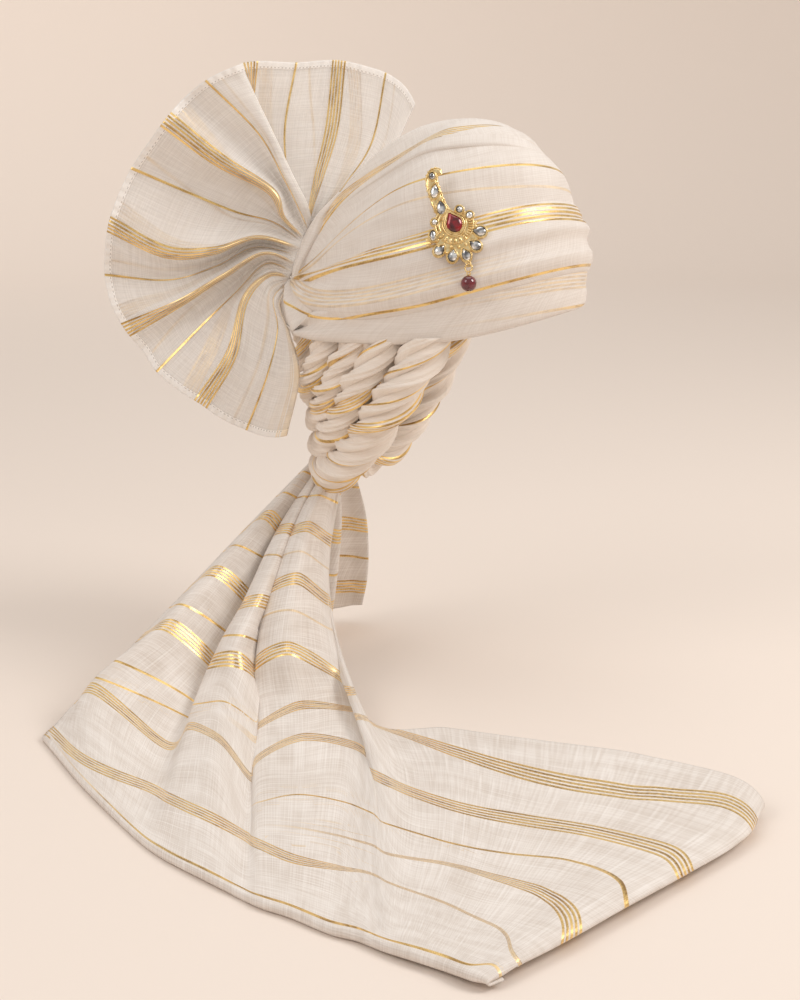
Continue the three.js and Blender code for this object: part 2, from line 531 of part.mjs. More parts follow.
function buildBrooch() {
  const { Manifold } = wasm;
  const parts = [];
  const plate = new THREE.CylinderGeometry(ROSETTE.radius, ROSETTE.radius, PLATE_THICKNESS, 20);
  plate.rotateX(Math.PI / 2).translate(ROSETTE.x, ROSETTE.y, PLATE_THICKNESS / 2);
  parts.push(toSolid(plate));

  const stem = new THREE.CatmullRomCurve3(STEM_LINE.map((p) => new THREE.Vector3(p.x, p.y, 0)));
  const edge = (side) => {
    const points = [];
    for (let i = 0; i <= 14; i++) {
      const t = i / 14;
      const tangent = stem.getTangentAt(t);
      const half = STEM_HALF_WIDTH * (1 - 0.6 * t * t);
      const p = stem.getPointAt(t);
      points.push(new THREE.Vector2(p.x - side * half * tangent.y, p.y + side * half * tangent.x));
    }
    return points;
  };
  parts.push(slab(new THREE.Shape([...edge(-1), ...edge(1).reverse()]), 0, PLATE_THICKNESS));

  for (const stone of STONES) {
    parts.push(slab(new THREE.Shape(stoneOutline(stone, STONE_GAP + COLLET_WALL, STONE_SIDES)), 0, COLLET_HEIGHT));
  }

  const eye = ringGeometry(EYE.radius, EYE.wire, 12).rotateY(Math.PI / 2).translate(EYE.x, EYE.y, EYE.z);
  const neck = new THREE.CylinderGeometry(EYE.wire, EYE.wire, 3, 8);
  neck.translate(EYE.x, EYE.y + EYE.radius + 1.4, EYE.z - 0.6);
  parts.push(toSolid(eye), toSolid(neck));

  const joined = Manifold.union(parts);
  const pockets = STONES.map((stone) =>
    slab(new THREE.Shape(stoneOutline(stone, STONE_GAP, STONE_SIDES)), PLATE_THICKNESS - 0.6, 8),
  );
  const setting = joined.subtract(Manifold.union(pockets));
  addMesh("brooch_setting", toGeometry(setting).applyMatrix4(broochFrame), GOLD);

  for (const stone of STONES) {
    const outline = (angle) => stoneRadius(stone, angle, 0);
    const base = PLATE_THICKNESS - 0.6 + STONE_GAP;
    const levels = [
      { scale: 0.6, z: base },
      { scale: 1, z: base + 1.5 },
      { scale: 0.58, z: base + 2.7 },
    ];
    const cut = reshaped(new THREE.CylinderGeometry(1, 1, 1, STONE_SIDES, 2), (x, y, z) => {
      const level = levels[Math.round((y + 0.5) * 2)];
      const angle = Math.atan2(-z, x);
      const radius = Math.hypot(x, z) < 0.5 ? 0 : level.scale * outline(angle);
      const turned = angle + radians(stone.turn);
      return new THREE.Vector3(stone.x + radius * Math.cos(turned), stone.y + radius * Math.sin(turned), level.z);
    });
    addMesh(stone.name, cut.applyMatrix4(broochFrame), stone.name === "red_stone" ? RED : CLEAR);
  }

  const bar = new THREE.CylinderGeometry(PIN_BAR.radius, PIN_BAR.radius, PIN_BAR.length, 8);
  bar.rotateZ(radians(PIN_BAR.turn)).translate(-3, -1, -PIN_BAR.behind);
  addMesh("brooch_pin", bar.applyMatrix4(broochFrame), GOLD);

  const ringY = EYE.y - JUMP_RING.radius;
  const ring = ringGeometry(JUMP_RING.radius, JUMP_RING.wire, 14).translate(EYE.x, ringY, EYE.z);
  addMesh("drop_ring", ring.applyMatrix4(broochFrame), GOLD);

  const topEye = ringY - JUMP_RING.radius;
  const beadY = topEye - EYE.radius - EYE.wire - 0.5 - BEAD_RADIUS;
  const dropEye = ringGeometry(EYE.radius, EYE.wire, 12).rotateY(Math.PI / 2).translate(EYE.x, topEye, DROP_OUT);
  const shaftTop = topEye - EYE.radius;
  const shaftLow = beadY - BEAD_RADIUS - 1.6;
  const shaft = new THREE.CylinderGeometry(DROP_PIN_RADIUS, DROP_PIN_RADIUS, shaftTop - shaftLow, 8);
  shaft.translate(EYE.x, (shaftTop + shaftLow) / 2, DROP_OUT);
  const foot = new THREE.CylinderGeometry(1.3, 0.8, 1.4, 8).translate(EYE.x, shaftLow + 0.5, DROP_OUT);
  const pin = Manifold.union([toSolid(dropEye), toSolid(shaft), toSolid(foot)]);
  addMesh("drop_pin", toGeometry(pin).applyMatrix4(broochFrame), GOLD);

  const beadProfile = [];
  const start = Math.asin(BEAD_BORE / BEAD_RADIUS);
  for (let i = 0; i <= 8; i++) {
    const angle = lerp(start, Math.PI - start, i / 8);
    beadProfile.push(new THREE.Vector2(BEAD_RADIUS * Math.sin(angle), -BEAD_RADIUS * Math.cos(angle)));
  }
  beadProfile.push(beadProfile[0].clone());
  const bead = reshaped(new THREE.LatheGeometry(beadProfile, 14), (x, y, z) =>
    new THREE.Vector3(x + EYE.x, y + beadY, z + DROP_OUT),
  );
  addMesh("drop_bead", bead.applyMatrix4(broochFrame), BEAD_RED);
}

buildCrown();
buildFan();
buildKnotRoll();
buildRopes();
buildTail();
buildBrooch();

export default turban;
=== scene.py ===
"""Looks of a tied turban.

It has a wound crown, a pleated fan, twisted nape ropes, a long tail and a jewelled brooch.
"""

import logging
import math
from collections.abc import Callable
from dataclasses import dataclass, field
from enum import Enum

import bmesh
import bpy
import numpy as np
from mathutils import Matrix, Vector


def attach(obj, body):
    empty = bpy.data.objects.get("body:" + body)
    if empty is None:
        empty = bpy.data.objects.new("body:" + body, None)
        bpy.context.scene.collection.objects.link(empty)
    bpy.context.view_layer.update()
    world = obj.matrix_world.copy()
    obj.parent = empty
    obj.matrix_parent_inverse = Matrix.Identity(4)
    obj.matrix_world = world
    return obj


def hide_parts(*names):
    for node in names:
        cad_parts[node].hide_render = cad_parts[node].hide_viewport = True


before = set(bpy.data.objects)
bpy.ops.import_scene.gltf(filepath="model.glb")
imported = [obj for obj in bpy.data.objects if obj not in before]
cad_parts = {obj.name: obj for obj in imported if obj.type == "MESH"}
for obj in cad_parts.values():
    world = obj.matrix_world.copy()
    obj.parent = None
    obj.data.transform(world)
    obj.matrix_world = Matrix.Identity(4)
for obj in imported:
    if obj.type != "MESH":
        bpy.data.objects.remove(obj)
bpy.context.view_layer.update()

log = logging.getLogger("turban")

Array = np.ndarray
Socket = bpy.types.NodeSocket
Material = bpy.types.Material
Piece = bpy.types.Object
Body = bmesh.types.BMesh
Colour = tuple[float, float, float, float]
Triple = tuple[float, float, float]
MM = 0.001
UP = np.array([0.0, 0.0, 1.0])
# The woven pattern's length, and the distance within which points become one, in metres.
STRIPE_REPEAT = 0.078
WELD = 0.00002
# The growth that stands for a stone's middle when its outline is swept.
CLOSED = -20.0


class StripeKind(Enum):
    """The two gold stripes that the cloth repeats; the value is the half width in millimetres."""

    GROUP = 6.6
    SINGLE = 1.7


class Sheerness(Enum):
    """How much of what lies behind shows through a cloth."""

    CLOSE = 1.0
    SHEER = 0.30
    VEIL = 0.62


def lerp(start: Array | float, end: Array | float, share: Array | float) -> Array | float:
    """The value a share of the way from start to end."""
    return start + (end - start) * share


def smoothstep(low: float, high: float, value: Array | float) -> Array | float:
    """A soft step from 0 at low to 1 at high."""
    share = np.clip((value - low) / (high - low), 0.0, 1.0)
    return share * share * (3.0 - 2.0 * share)


def bell(value: Array, middle: float, width: float) -> Array:
    """A soft hump that is 1 at the middle and fades over the width."""
    return np.exp(-(((value - middle) / width) ** 2))


def unit(vectors: Array) -> Array:
    """The vectors at length one."""
    return vectors / np.maximum(np.linalg.norm(vectors, axis=-1, keepdims=True), 1e-9)


def row_value(rows: Array, at: Array) -> Array:
    """A smooth curve through the rows of a table.

    Args:
        rows: The table, one row per station.
        at: Places along the table, from 0 at its first row to 1 at its last.

    Returns:
        One value of a row's shape for each place.
    """
    place = np.clip(at, 0.0, 1.0) * (len(rows) - 1)
    first = np.minimum(np.floor(place).astype(int), len(rows) - 2)
    share = (place - first).reshape((-1,) + (1,) * (rows.ndim - 1))
    padded = np.concatenate([[2 * rows[0] - rows[1]], rows, [2 * rows[-1] - rows[-2]]])
    before, start, end, after = (padded[first + step] for step in range(4))
    leave = (end - before) / 2
    arrive = (after - start) / 2
    cube, square = share**3, share**2
    return (
        (2 * cube - 3 * square + 1) * start
        + (cube - 2 * square + share) * leave
        + (3 * square - 2 * cube) * end
        + (cube - square) * arrive
    )


@dataclass(frozen=True)
class Sight:
    """The view that places were read through: its eye in metres, its directions and its lens in pixels."""

    eye: Triple = (-1.1095, -0.7444, 0.1889)
    forward: Triple = (0.79652, 0.55773, -0.23345)
    up: Triple = (0.19123, 0.13390, 0.97237)
    lens: float = 1866.7
    middle: tuple[float, float] = (400.0, 500.0)

    def meet(self, spots: Array) -> Array:
        """Where lines of sight meet level planes.

        Args:
            spots: Rows of picture x and y in pixels, and the plane's height in millimetres.

        Returns:
            The points in millimetres.
        """
        forward, top = np.array(self.forward), np.array(self.up)
        right = np.cross(forward, top)
        aside = (spots[..., 0:1] - self.middle[0]) / self.lens
        above = (self.middle[1] - spots[..., 1:2]) / self.lens
        ray = forward + aside * right + above * top
        start = np.array(self.eye) / MM
        return start + ray * (spots[..., 2:3] - start[2]) / ray[..., 2:3]


@dataclass
class Laid:
    """A cloth laid out: its points in millimetres, its stripe and thread maps in metres and its gilding."""

    points: Array
    weave: Array
    gilt: Array
    threads: Array


@dataclass(frozen=True)
class Creases:
    """Long soft creases scattered over a sheet, all from one seed."""

    seed: int
    count: int
    height: float
    width: float
    length: float
    slant: float = 0.1

    def rise(self, along: Array, across: Array) -> Array:
        """How far the creases lift each point.

        Args:
            along: Shares along the creases.
            across: Shares across them.

        Returns:
            Lifts in millimetres, in the same layout.
        """
        chance = np.random.default_rng(self.seed)
        total = np.zeros_like(along)
        for _ in range(self.count):
            middle_along, middle_across = chance.random(2)
            slope = chance.normal(0.0, self.slant)
            width = self.width * chance.uniform(0.6, 1.6)
            length = self.length * chance.uniform(0.5, 1.5)
            height = self.height * chance.uniform(-0.8, 1.0)
            off = (across - middle_across - slope * (along - middle_along)) / width
            run = (along - middle_along) / length
            total += height * np.exp(-(off**2) - run**2)
        return total


@dataclass(frozen=True)
class Stripe:
    """One gold stripe: where it crosses the sheet at even stations along it, and how strongly it shows."""

    kind: StripeKind
    track: tuple[float, ...]
    strength: tuple[float, ...] = (1.0, 1.0)
    spread: tuple[float, ...] = (1.0, 1.0)


@dataclass(frozen=True)
class StripeSet:
    """The gold stripes of one sheet, in their order across it."""

    stripes: tuple[Stripe, ...]

    def counts(self) -> list[float]:
        """The weave coordinate of each stripe in metres, so that kinds fall where the repeat has them."""
        places: list[float] = []
        last = -STRIPE_REPEAT
        for stripe in self.stripes:
            phase = 0.0 if stripe.kind is StripeKind.GROUP else STRIPE_REPEAT / 2
            steps = math.floor((last - phase) / STRIPE_REPEAT + 1e-6) + 1
            last = phase + steps * STRIPE_REPEAT
            places.append(last)
        return places

    def lay(self, along: Array, across: Array, pace: Array) -> tuple[Array, Array]:
        """Weave coordinates and gilding over a grid.

        Args:
            along: Shares along the stripes, one per column.
            across: Places across them, in the units of the tracks, shaped columns by rows and rising.
            pace: Millimetres for each unit across, in the same layout.

        Returns:
            The weave coordinate across the stripes in metres, and the strength of the gold from 0 to 1.
        """
        weave = np.zeros_like(across)
        gilt = np.zeros_like(across)
        nearest = np.full_like(across, np.inf)
        reach = np.cumsum(np.gradient(across, axis=1) * pace, axis=1)
        cell = np.abs(np.gradient(reach, axis=1))
        for stripe, count in zip(self.stripes, self.counts()):
            centre = row_value(np.array(stripe.track), along)
            spread = np.maximum(row_value(np.array(stripe.spread), along), 0.05)[:, None]
            strength = np.clip(row_value(np.array(stripe.strength), along), 0.0, 1.0)[:, None]
            middle = np.array([np.interp(spot, line, run) for spot, line, run in zip(centre, across, reach)])
            before = np.minimum(centre - across[:, 0], 0.0) * pace[:, 0]
            beyond = np.maximum(centre - across[:, -1], 0.0) * pace[:, -1]
            off = reach - (middle + before + beyond)[:, None]
            away = np.where(strength > 0.02, np.abs(off) / stripe.kind.value, 1e6 + np.abs(off))
            near = away < nearest
            nearest = np.where(near, away, nearest)
            weave = np.where(near, count + off * MM / spread, weave)
            painted = np.abs(off) < stripe.kind.value * spread + cell * 1.6
            gilt = np.where(near, np.where(painted, strength, 0.0), gilt)
        return weave, gilt


def link(name: str, data: bpy.types.ID) -> Piece:
    """Puts a new object with the given data into the scene."""
    made = bpy.data.objects.new(name, data)
    bpy.context.scene.collection.objects.link(made)
    return made


def cloth_grid(name: str, columns: int, rows: int, lay: Callable[[Array, Array], Laid]) -> Piece:
    """A fine grid of cloth laid on a surface.

    Args:
        name: The piece's name.
        columns: Faces along the first direction.
        rows: Faces along the second.
        lay: Turns two grids of shares, shaped columns by rows, into the laid cloth.

    Returns:
        The new object, at the origin, with its stripe and thread maps and its gilding.
    """
    sheet = bmesh.new()
    bmesh.ops.create_grid(sheet, x_segments=columns, y_segments=rows, size=0.5)
    mesh = bpy.data.meshes.new(name)
    sheet.to_mesh(mesh)
    sheet.free()
    flat = np.empty(len(mesh.vertices) * 3, np.float32)
    mesh.vertices.foreach_get("co", flat)
    flat = flat.reshape(-1, 3)
    column = np.rint((flat[:, 0] + 0.5) * columns).astype(int)
    row = np.rint((flat[:, 1] + 0.5) * rows).astype(int)
    shares = np.meshgrid(np.linspace(0, 1, columns + 1), np.linspace(0, 1, rows + 1), indexing="ij")
    laid = lay(*shares)
    mesh.vertices.foreach_set("co", (laid.points[column, row] * MM).astype(np.float32).ravel())
    corners = np.empty(len(mesh.loops), np.int32)
    mesh.loops.foreach_get("vertex_index", corners)
    for label, chart in (("weave", laid.weave), ("threads", laid.threads)):
        layer = mesh.uv_layers.new(name=label)
        layer.data.foreach_set("uv", chart[column, row][corners].astype(np.float32).ravel())
    gilding = mesh.attributes.new("gilt", "FLOAT", "POINT")
    gilding.data.foreach_set("value", laid.gilt[column, row].astype(np.float32))
    mesh.polygons.foreach_set("use_smooth", np.ones(len(mesh.polygons), bool))
    mesh.update()
    return link(name, mesh)


def arc_lengths(points: Array, axis: int) -> Array:
    """Distances along one direction of a grid of points, from its first line.

    Args:
        points: The grid, columns by rows by three.
        axis: 0 to run over the columns, 1 over the rows.

    Returns:
        The distances in the points' units, columns by rows.
    """
    steps = np.linalg.norm(np.diff(points, axis=axis), axis=-1)
    start = np.zeros_like(np.take(steps, [0], axis=axis))
    return np.concatenate([start, np.cumsum(steps, axis=axis)], axis=axis)


def thread_chart(points: Array) -> Array:
    """Lengths along both directions of a grid of points, in metres."""
    return np.stack([arc_lengths(points, 0), arc_lengths(points, 1)], -1) * MM


def grid_normals(points: Array) -> Array:
    """Unit normals of a grid of points."""
    return unit(np.cross(np.gradient(points, axis=0), np.gradient(points, axis=1)))


def thicken(piece: Piece, wall: float) -> None:
    """Gives a sheet its wall.

    Args:
        piece: The sheet.
        wall: The wall in millimetres, half to each side.
    """
    wall_maker = piece.modifiers.new("wall", "SOLIDIFY")
    wall_maker.thickness = wall * MM
    wall_maker.offset = 0.0
    wall_maker.use_even_offset = False


def dress(piece: Piece, finish: Material, nodes: tuple[str, ...]) -> None:
    """Gives a piece its finish and its body.

    Args:
        piece: The piece.
        finish: Its material.
        nodes: The solids that the piece stands for.
    """
    piece.data.materials.append(finish)
    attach(piece, "root")
    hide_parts(*nodes)
    area = sum(face.area for face in piece.data.polygons)
    log.info("%s: %d faces, %.4f square metres", piece.name, len(piece.data.polygons), area)


@dataclass
class Graph:
    """A material's node tree, with short ways to add and join nodes."""

    material: Material

    def add(self, kind: str, **inputs: float | tuple[float, ...] | Socket) -> bpy.types.Node:
        """Adds a node.

        Args:
            kind: The node's type.
            inputs: Values or sockets for its inputs, by name with underscores for spaces.

        Returns:
            The node.
        """
        node = self.material.node_tree.nodes.new(kind)
        for name, value in inputs.items():
            self.feed(node.inputs[name.replace("_", " ")], value)
        return node

    def feed(self, socket: Socket, value: float | tuple[float, ...] | Socket) -> None:
        """Joins a socket to an input, or sets the input's value.

        Args:
            socket: The input.
            value: What it takes.
        """
        if isinstance(value, Socket):
            self.material.node_tree.links.new(value, socket)
        else:
            socket.default_value = value

    def sum(self, operation: str, *values: float | Socket) -> Socket:
        """One step of arithmetic.

        Args:
            operation: Blender's name of the operation.
            values: Its inputs.

        Returns:
            The result's socket.
        """
        node = self.material.node_tree.nodes.new("ShaderNodeMath")
        node.operation = operation
        for socket, value in zip(node.inputs, values):
            self.feed(socket, value)
        return node.outputs[0]

    def blend(self, share: Socket, first: Colour | Socket, second: Colour | Socket) -> Socket:
        """A colour between two others.

        Args:
            share: 0 for the first, 1 for the second.
            first: The first colour.
            second: The second colour.

        Returns:
            The colour's socket.
        """
        node = self.material.node_tree.nodes.new("ShaderNodeMix")
        node.data_type = "RGBA"
        self.feed(node.inputs[0], share)
        self.feed(node.inputs[6], first)
        self.feed(node.inputs[7], second)
        return node.outputs[2]

    def noise(self, place: Socket, scale: Triple, detail: float) -> Socket:
        """Soft noise over a place.

        Args:
            place: Coordinates.
            scale: Grains for each metre along each axis.
            detail: How many finer layers it has.

        Returns:
            The noise's value socket.
        """
        stretch = self.add("ShaderNodeMapping", Vector=place, Scale=scale)
        return self.add("ShaderNodeTexNoise", Vector=stretch.outputs[0], Scale=1.0, Detail=detail).outputs[0]

    def off_whole(self, value: Socket) -> Socket:
        """How far a value is past the nearest whole number."""
        return self.sum("SUBTRACT", self.sum("FRACT", self.sum("ADD", value, 0.5)), 0.5)

    def ramp(self, value: Socket, low: float, high: float) -> Socket:
        """A soft step of a value from 0 at low to 1 at high."""
        node = self.add("ShaderNodeMapRange", Value=value, From_Min=low, From_Max=high)
        node.interpolation_type = "SMOOTHSTEP"
        return node.outputs[0]


def new_graph(name: str) -> tuple[Graph, bpy.types.Node]:
    """Starts a material with one shader.

    Args:
        name: The material's name.

    Returns:
        Its graph and its shader node.
    """
    material = bpy.data.materials.new(name)
    material.use_nodes = True
    return Graph(material), material.node_tree.nodes["Principled BSDF"]


@dataclass(frozen=True)
class ClothFinish:
    """Ivory slub cloth with woven gold stripes, whose gold has painted glints."""

    name: str
    sheerness: Sheerness
    thread: Colour = (0.82, 0.765, 0.715, 1.0)
    shade: Colour = (0.69, 0.62, 0.56, 1.0)
    thick_share: float = 0.16
    cloud_share: float = 0.30
    # The gold's two colours are a painted glinting gold and a painted dull gold, lit and unlit copies of the
    # gold thread.
    painted_lit_gold: Colour = (0.98, 0.70, 0.28, 1.0)
    painted_dull_gold: Colour = (0.40, 0.23, 0.075, 1.0)
    hemmed: bool = False
    hem_width: float = 0.005
    stitch_pitch: float = 0.0032
    stitch_half: float = 0.00045
    line_pitch: float = 0.0025
    line_half: float = 0.00066
    single_half: float = 0.00085
    lines_each_side: float = 2.45
    line_soft: float = 0.00025
    line_firm: float = 0.0001
    thread_grain: tuple[float, float] = (26.0, 1500.0)
    thick_grain: tuple[float, float] = (16.0, 900.0)
    cloud_grain: tuple[float, float] = (38.0, 60.0)
    # Grains of the noise that paints glints along the gold.
    glint_grain: tuple[float, float] = (55.0, 420.0)
    twill_grain: tuple[float, float] = (1500.0, 700.0)

    def material(self) -> Material:
        """Builds the cloth's material from its weave map and its gilding."""
        graph, shader = new_graph(self.name)
        weave = graph.add("ShaderNodeUVMap")
        weave.uv_map = "weave"
        parts = graph.add("ShaderNodeSeparateXYZ", Vector=weave.outputs[0])
        gold = self.gold(graph, parts.outputs[1])
        threads = graph.add("ShaderNodeUVMap")
        threads.uv_map = "threads"
        slub = self.slub(graph, threads.outputs[0])
        # The glint and twill noise paint glints along the gold: painted highlights that swing the gold
        # between its dull and its glinting colour.
        painted_glint = graph.noise(weave.outputs[0], (*self.glint_grain, 1.0), 2.0)
        twill = graph.noise(weave.outputs[0], (*self.twill_grain, 1.0), 1.0)
        painted_shine = graph.ramp(graph.sum("MULTIPLY_ADD", twill, 0.45, painted_glint), 0.45, 0.88)
        ivory = graph.blend(slub, self.shade, self.thread)
        gilding = graph.blend(painted_shine, self.painted_dull_gold, self.painted_lit_gold)
        colour = graph.blend(gold, ivory, gilding)
        graph.feed(shader.inputs["Base Color"], colour)
        graph.feed(shader.inputs["Metallic"], graph.sum("MULTIPLY", gold, 0.85))
        graph.feed(shader.inputs["Roughness"], graph.sum("MULTIPLY_ADD", gold, -0.50, 0.82))
        shader.inputs["Sheen Weight"].default_value = 0.12
        shader.inputs["Sheen Roughness"].default_value = 0.5
        bare = graph.sum("MULTIPLY", slub, graph.sum("SUBTRACT", 1.0, gold))
        relief = graph.sum("MULTIPLY_ADD", gold, 0.5, bare)
        relief = graph.sum("MULTIPLY_ADD", twill, graph.sum("MULTIPLY", gold, 0.6), relief)
        bump = graph.add("ShaderNodeBump", Strength=0.35, Distance=0.0003, Height=relief)
        graph.feed(shader.inputs["Normal"], bump.outputs[0])
        if self.sheerness is not Sheerness.CLOSE:
            cover = graph.sum("MULTIPLY_ADD", slub, 0.16, self.sheerness.value)
            cover = graph.sum("MAXIMUM", cover, gold)
            if self.hemmed:
                cover = graph.sum("MAXIMUM", cover, self.hem(graph, threads.outputs[0]))
            graph.feed(shader.inputs["Alpha"], cover)
        return graph.material

    def hem(self, graph: Graph, threads: Socket) -> Socket:
        """Where the turned hem doubles the cloth, less its row of stitch holes.

        Args:
            graph: The material's graph.
            threads: The thread coordinates, whose second one starts at the hem.

        Returns:
            The hem's socket, from 0 to 1.
        """
        parts = graph.add("ShaderNodeSeparateXYZ", Vector=threads)
        band = graph.sum("LESS_THAN", parts.outputs[1], self.hem_width)
        row = graph.sum("ABSOLUTE", graph.sum("SUBTRACT", parts.outputs[1], self.hem_width * 0.85))
        row = graph.sum("LESS_THAN", row, self.stitch_half)
        dash = graph.sum("FRACT", graph.sum("DIVIDE", parts.outputs[0], self.stitch_pitch))
        dash = graph.sum("MULTIPLY", graph.sum("LESS_THAN", dash, 0.45), row)
        return graph.sum("MULTIPLY_ADD", graph.sum("MULTIPLY_ADD", dash, -0.6, band), 0.8, 0.0)

    def gold(self, graph: Graph, across: Socket) -> Socket:
        """Where the gold threads lie, from 0 to 1.

        Args:
            graph: The material's graph.
            across: The weave coordinate across the stripes.

        Returns:
            The gold's socket.
        """
        turns = graph.sum("DIVIDE", across, STRIPE_REPEAT)
        group = graph.sum("MULTIPLY", graph.off_whole(turns), STRIPE_REPEAT)
        line = graph.off_whole(graph.sum("DIVIDE", group, self.line_pitch))
        line = graph.sum("MULTIPLY", graph.sum("ABSOLUTE", line), self.line_pitch)
        lines = graph.ramp(line, self.line_half + self.line_soft, self.line_half - self.line_firm)
        inside = graph.sum("LESS_THAN", graph.sum("ABSOLUTE", group), self.line_pitch * self.lines_each_side)
        single = graph.sum("SUBTRACT", graph.sum("FRACT", turns), 0.5)
        single = graph.sum("MULTIPLY", graph.sum("ABSOLUTE", single), STRIPE_REPEAT)
        thin = graph.ramp(single, self.single_half + self.line_soft, self.single_half - self.line_firm)
        strength = graph.add("ShaderNodeAttribute")
        strength.attribute_name = "gilt"
        either = graph.sum("MAXIMUM", graph.sum("MULTIPLY", lines, inside), thin)
        return graph.sum("MULTIPLY", either, strength.outputs["Fac"])

    def both_ways(self, graph: Graph, threads: Socket, grain: tuple[float, float]) -> list[Socket]:
        """Thread noise along the first direction and along the second.

        Args:
            graph: The material's graph.
            threads: The thread coordinates.
            grain: Grains for each metre along a thread and across it.

        Returns:
            The two noises' sockets.
        """
        return [graph.noise(threads, (*way, 1.0), 0.0) for way in (grain, grain[::-1])]

    def slub(self, graph: Graph, threads: Socket) -> Socket:
        """Uneven threads in both directions, from 0 to 1.

        Args:
            graph: The material's graph.
            threads: The thread coordinates.

        Returns:
            The threads' socket.
        """
        fine_ways = self.both_ways(graph, threads, self.thread_grain)
        fine = graph.sum("ADD", *(graph.ramp(value, 0.3, 0.7) for value in fine_ways))
        fine = graph.sum("MULTIPLY", fine, 0.5 * (1.0 - self.cloud_share))
        thick_ways = self.both_ways(graph, threads, self.thick_grain)
        thick = graph.sum("MAXIMUM", *(graph.ramp(value, 0.62, 0.72) for value in thick_ways))
        cloud = graph.ramp(graph.noise(threads, (*self.cloud_grain, 1.0), 3.0), 0.3, 0.7)
        total = graph.sum("MULTIPLY_ADD", thick, self.thick_share, fine)
        return graph.sum("MULTIPLY_ADD", cloud, self.cloud_share, total)


@dataclass(frozen=True)
class MetalFinish:
    """Antique gold with a soft polish."""

    name: str = "antique_gold"
    bright: Colour = (0.94, 0.75, 0.41, 1.0)
    dull: Colour = (0.74, 0.53, 0.24, 1.0)

    def material(self) -> Material:
        """Builds the metal's material."""
        graph, shader = new_graph(self.name)
        place = graph.add("ShaderNodeTexCoord").outputs["Object"]
        wear = graph.noise(place, (260.0, 260.0, 260.0), 2.0)
        colour = graph.blend(graph.ramp(wear, 0.35, 0.65), self.dull, self.bright)
        graph.feed(shader.inputs["Base Color"], colour)
        graph.feed(shader.inputs["Roughness"], graph.sum("MULTIPLY_ADD", wear, 0.2, 0.16))
        shader.inputs["Metallic"].default_value = 1.0
        bump = graph.add("ShaderNodeBump", Strength=0.06, Distance=0.0002, Height=wear)
        graph.feed(shader.inputs["Normal"], bump.outputs[0])
        return graph.material


@dataclass(frozen=True)
class StoneFinish:
    """A polished stone, foiled behind where it is clear or cut, whose colour goes between deep and light
    over a cloud of noise.
    """

    name: str
    deep: Colour
    light: Colour
    foil: float
    grain: float

    def material(self) -> Material:
        """Builds the stone's material."""
        graph, shader = new_graph(self.name)
        place = graph.add("ShaderNodeTexCoord").outputs["Object"]
        # On the foiled crystal this cloud paints dark and light reflections; on the red stone and the bead
        # it makes patches between their deep and light colours.
        cloud = graph.noise(place, (self.grain, self.grain, self.grain), 2.0)
        colour = graph.blend(graph.ramp(cloud, 0.38, 0.62), self.deep, self.light)
        graph.feed(shader.inputs["Base Color"], colour)
        graph.feed(shader.inputs["Roughness"], graph.sum("MULTIPLY_ADD", cloud, 0.06, 0.04))
        shader.inputs["Metallic"].default_value = self.foil
        shader.inputs["Coat Weight"].default_value = 1.0
        shader.inputs["Coat Roughness"].default_value = 0.03
        return graph.material


@dataclass(frozen=True)
class FloorFinish:
    """A pale matt studio sweep."""

    name: str = "studio_sweep"
    colour: Colour = (0.845, 0.75, 0.675, 1.0)

    def material(self) -> Material:
        """Builds the sweep's material."""
        graph, shader = new_graph(self.name)
        place = graph.add("ShaderNodeTexCoord").outputs["Object"]
        grain = graph.noise(place, (900.0, 900.0, 900.0), 2.0)
        shader.inputs["Base Color"].default_value = self.colour
        graph.feed(shader.inputs["Roughness"], graph.sum("MULTIPLY_ADD", grain, 0.1, 0.82))
        return graph.material


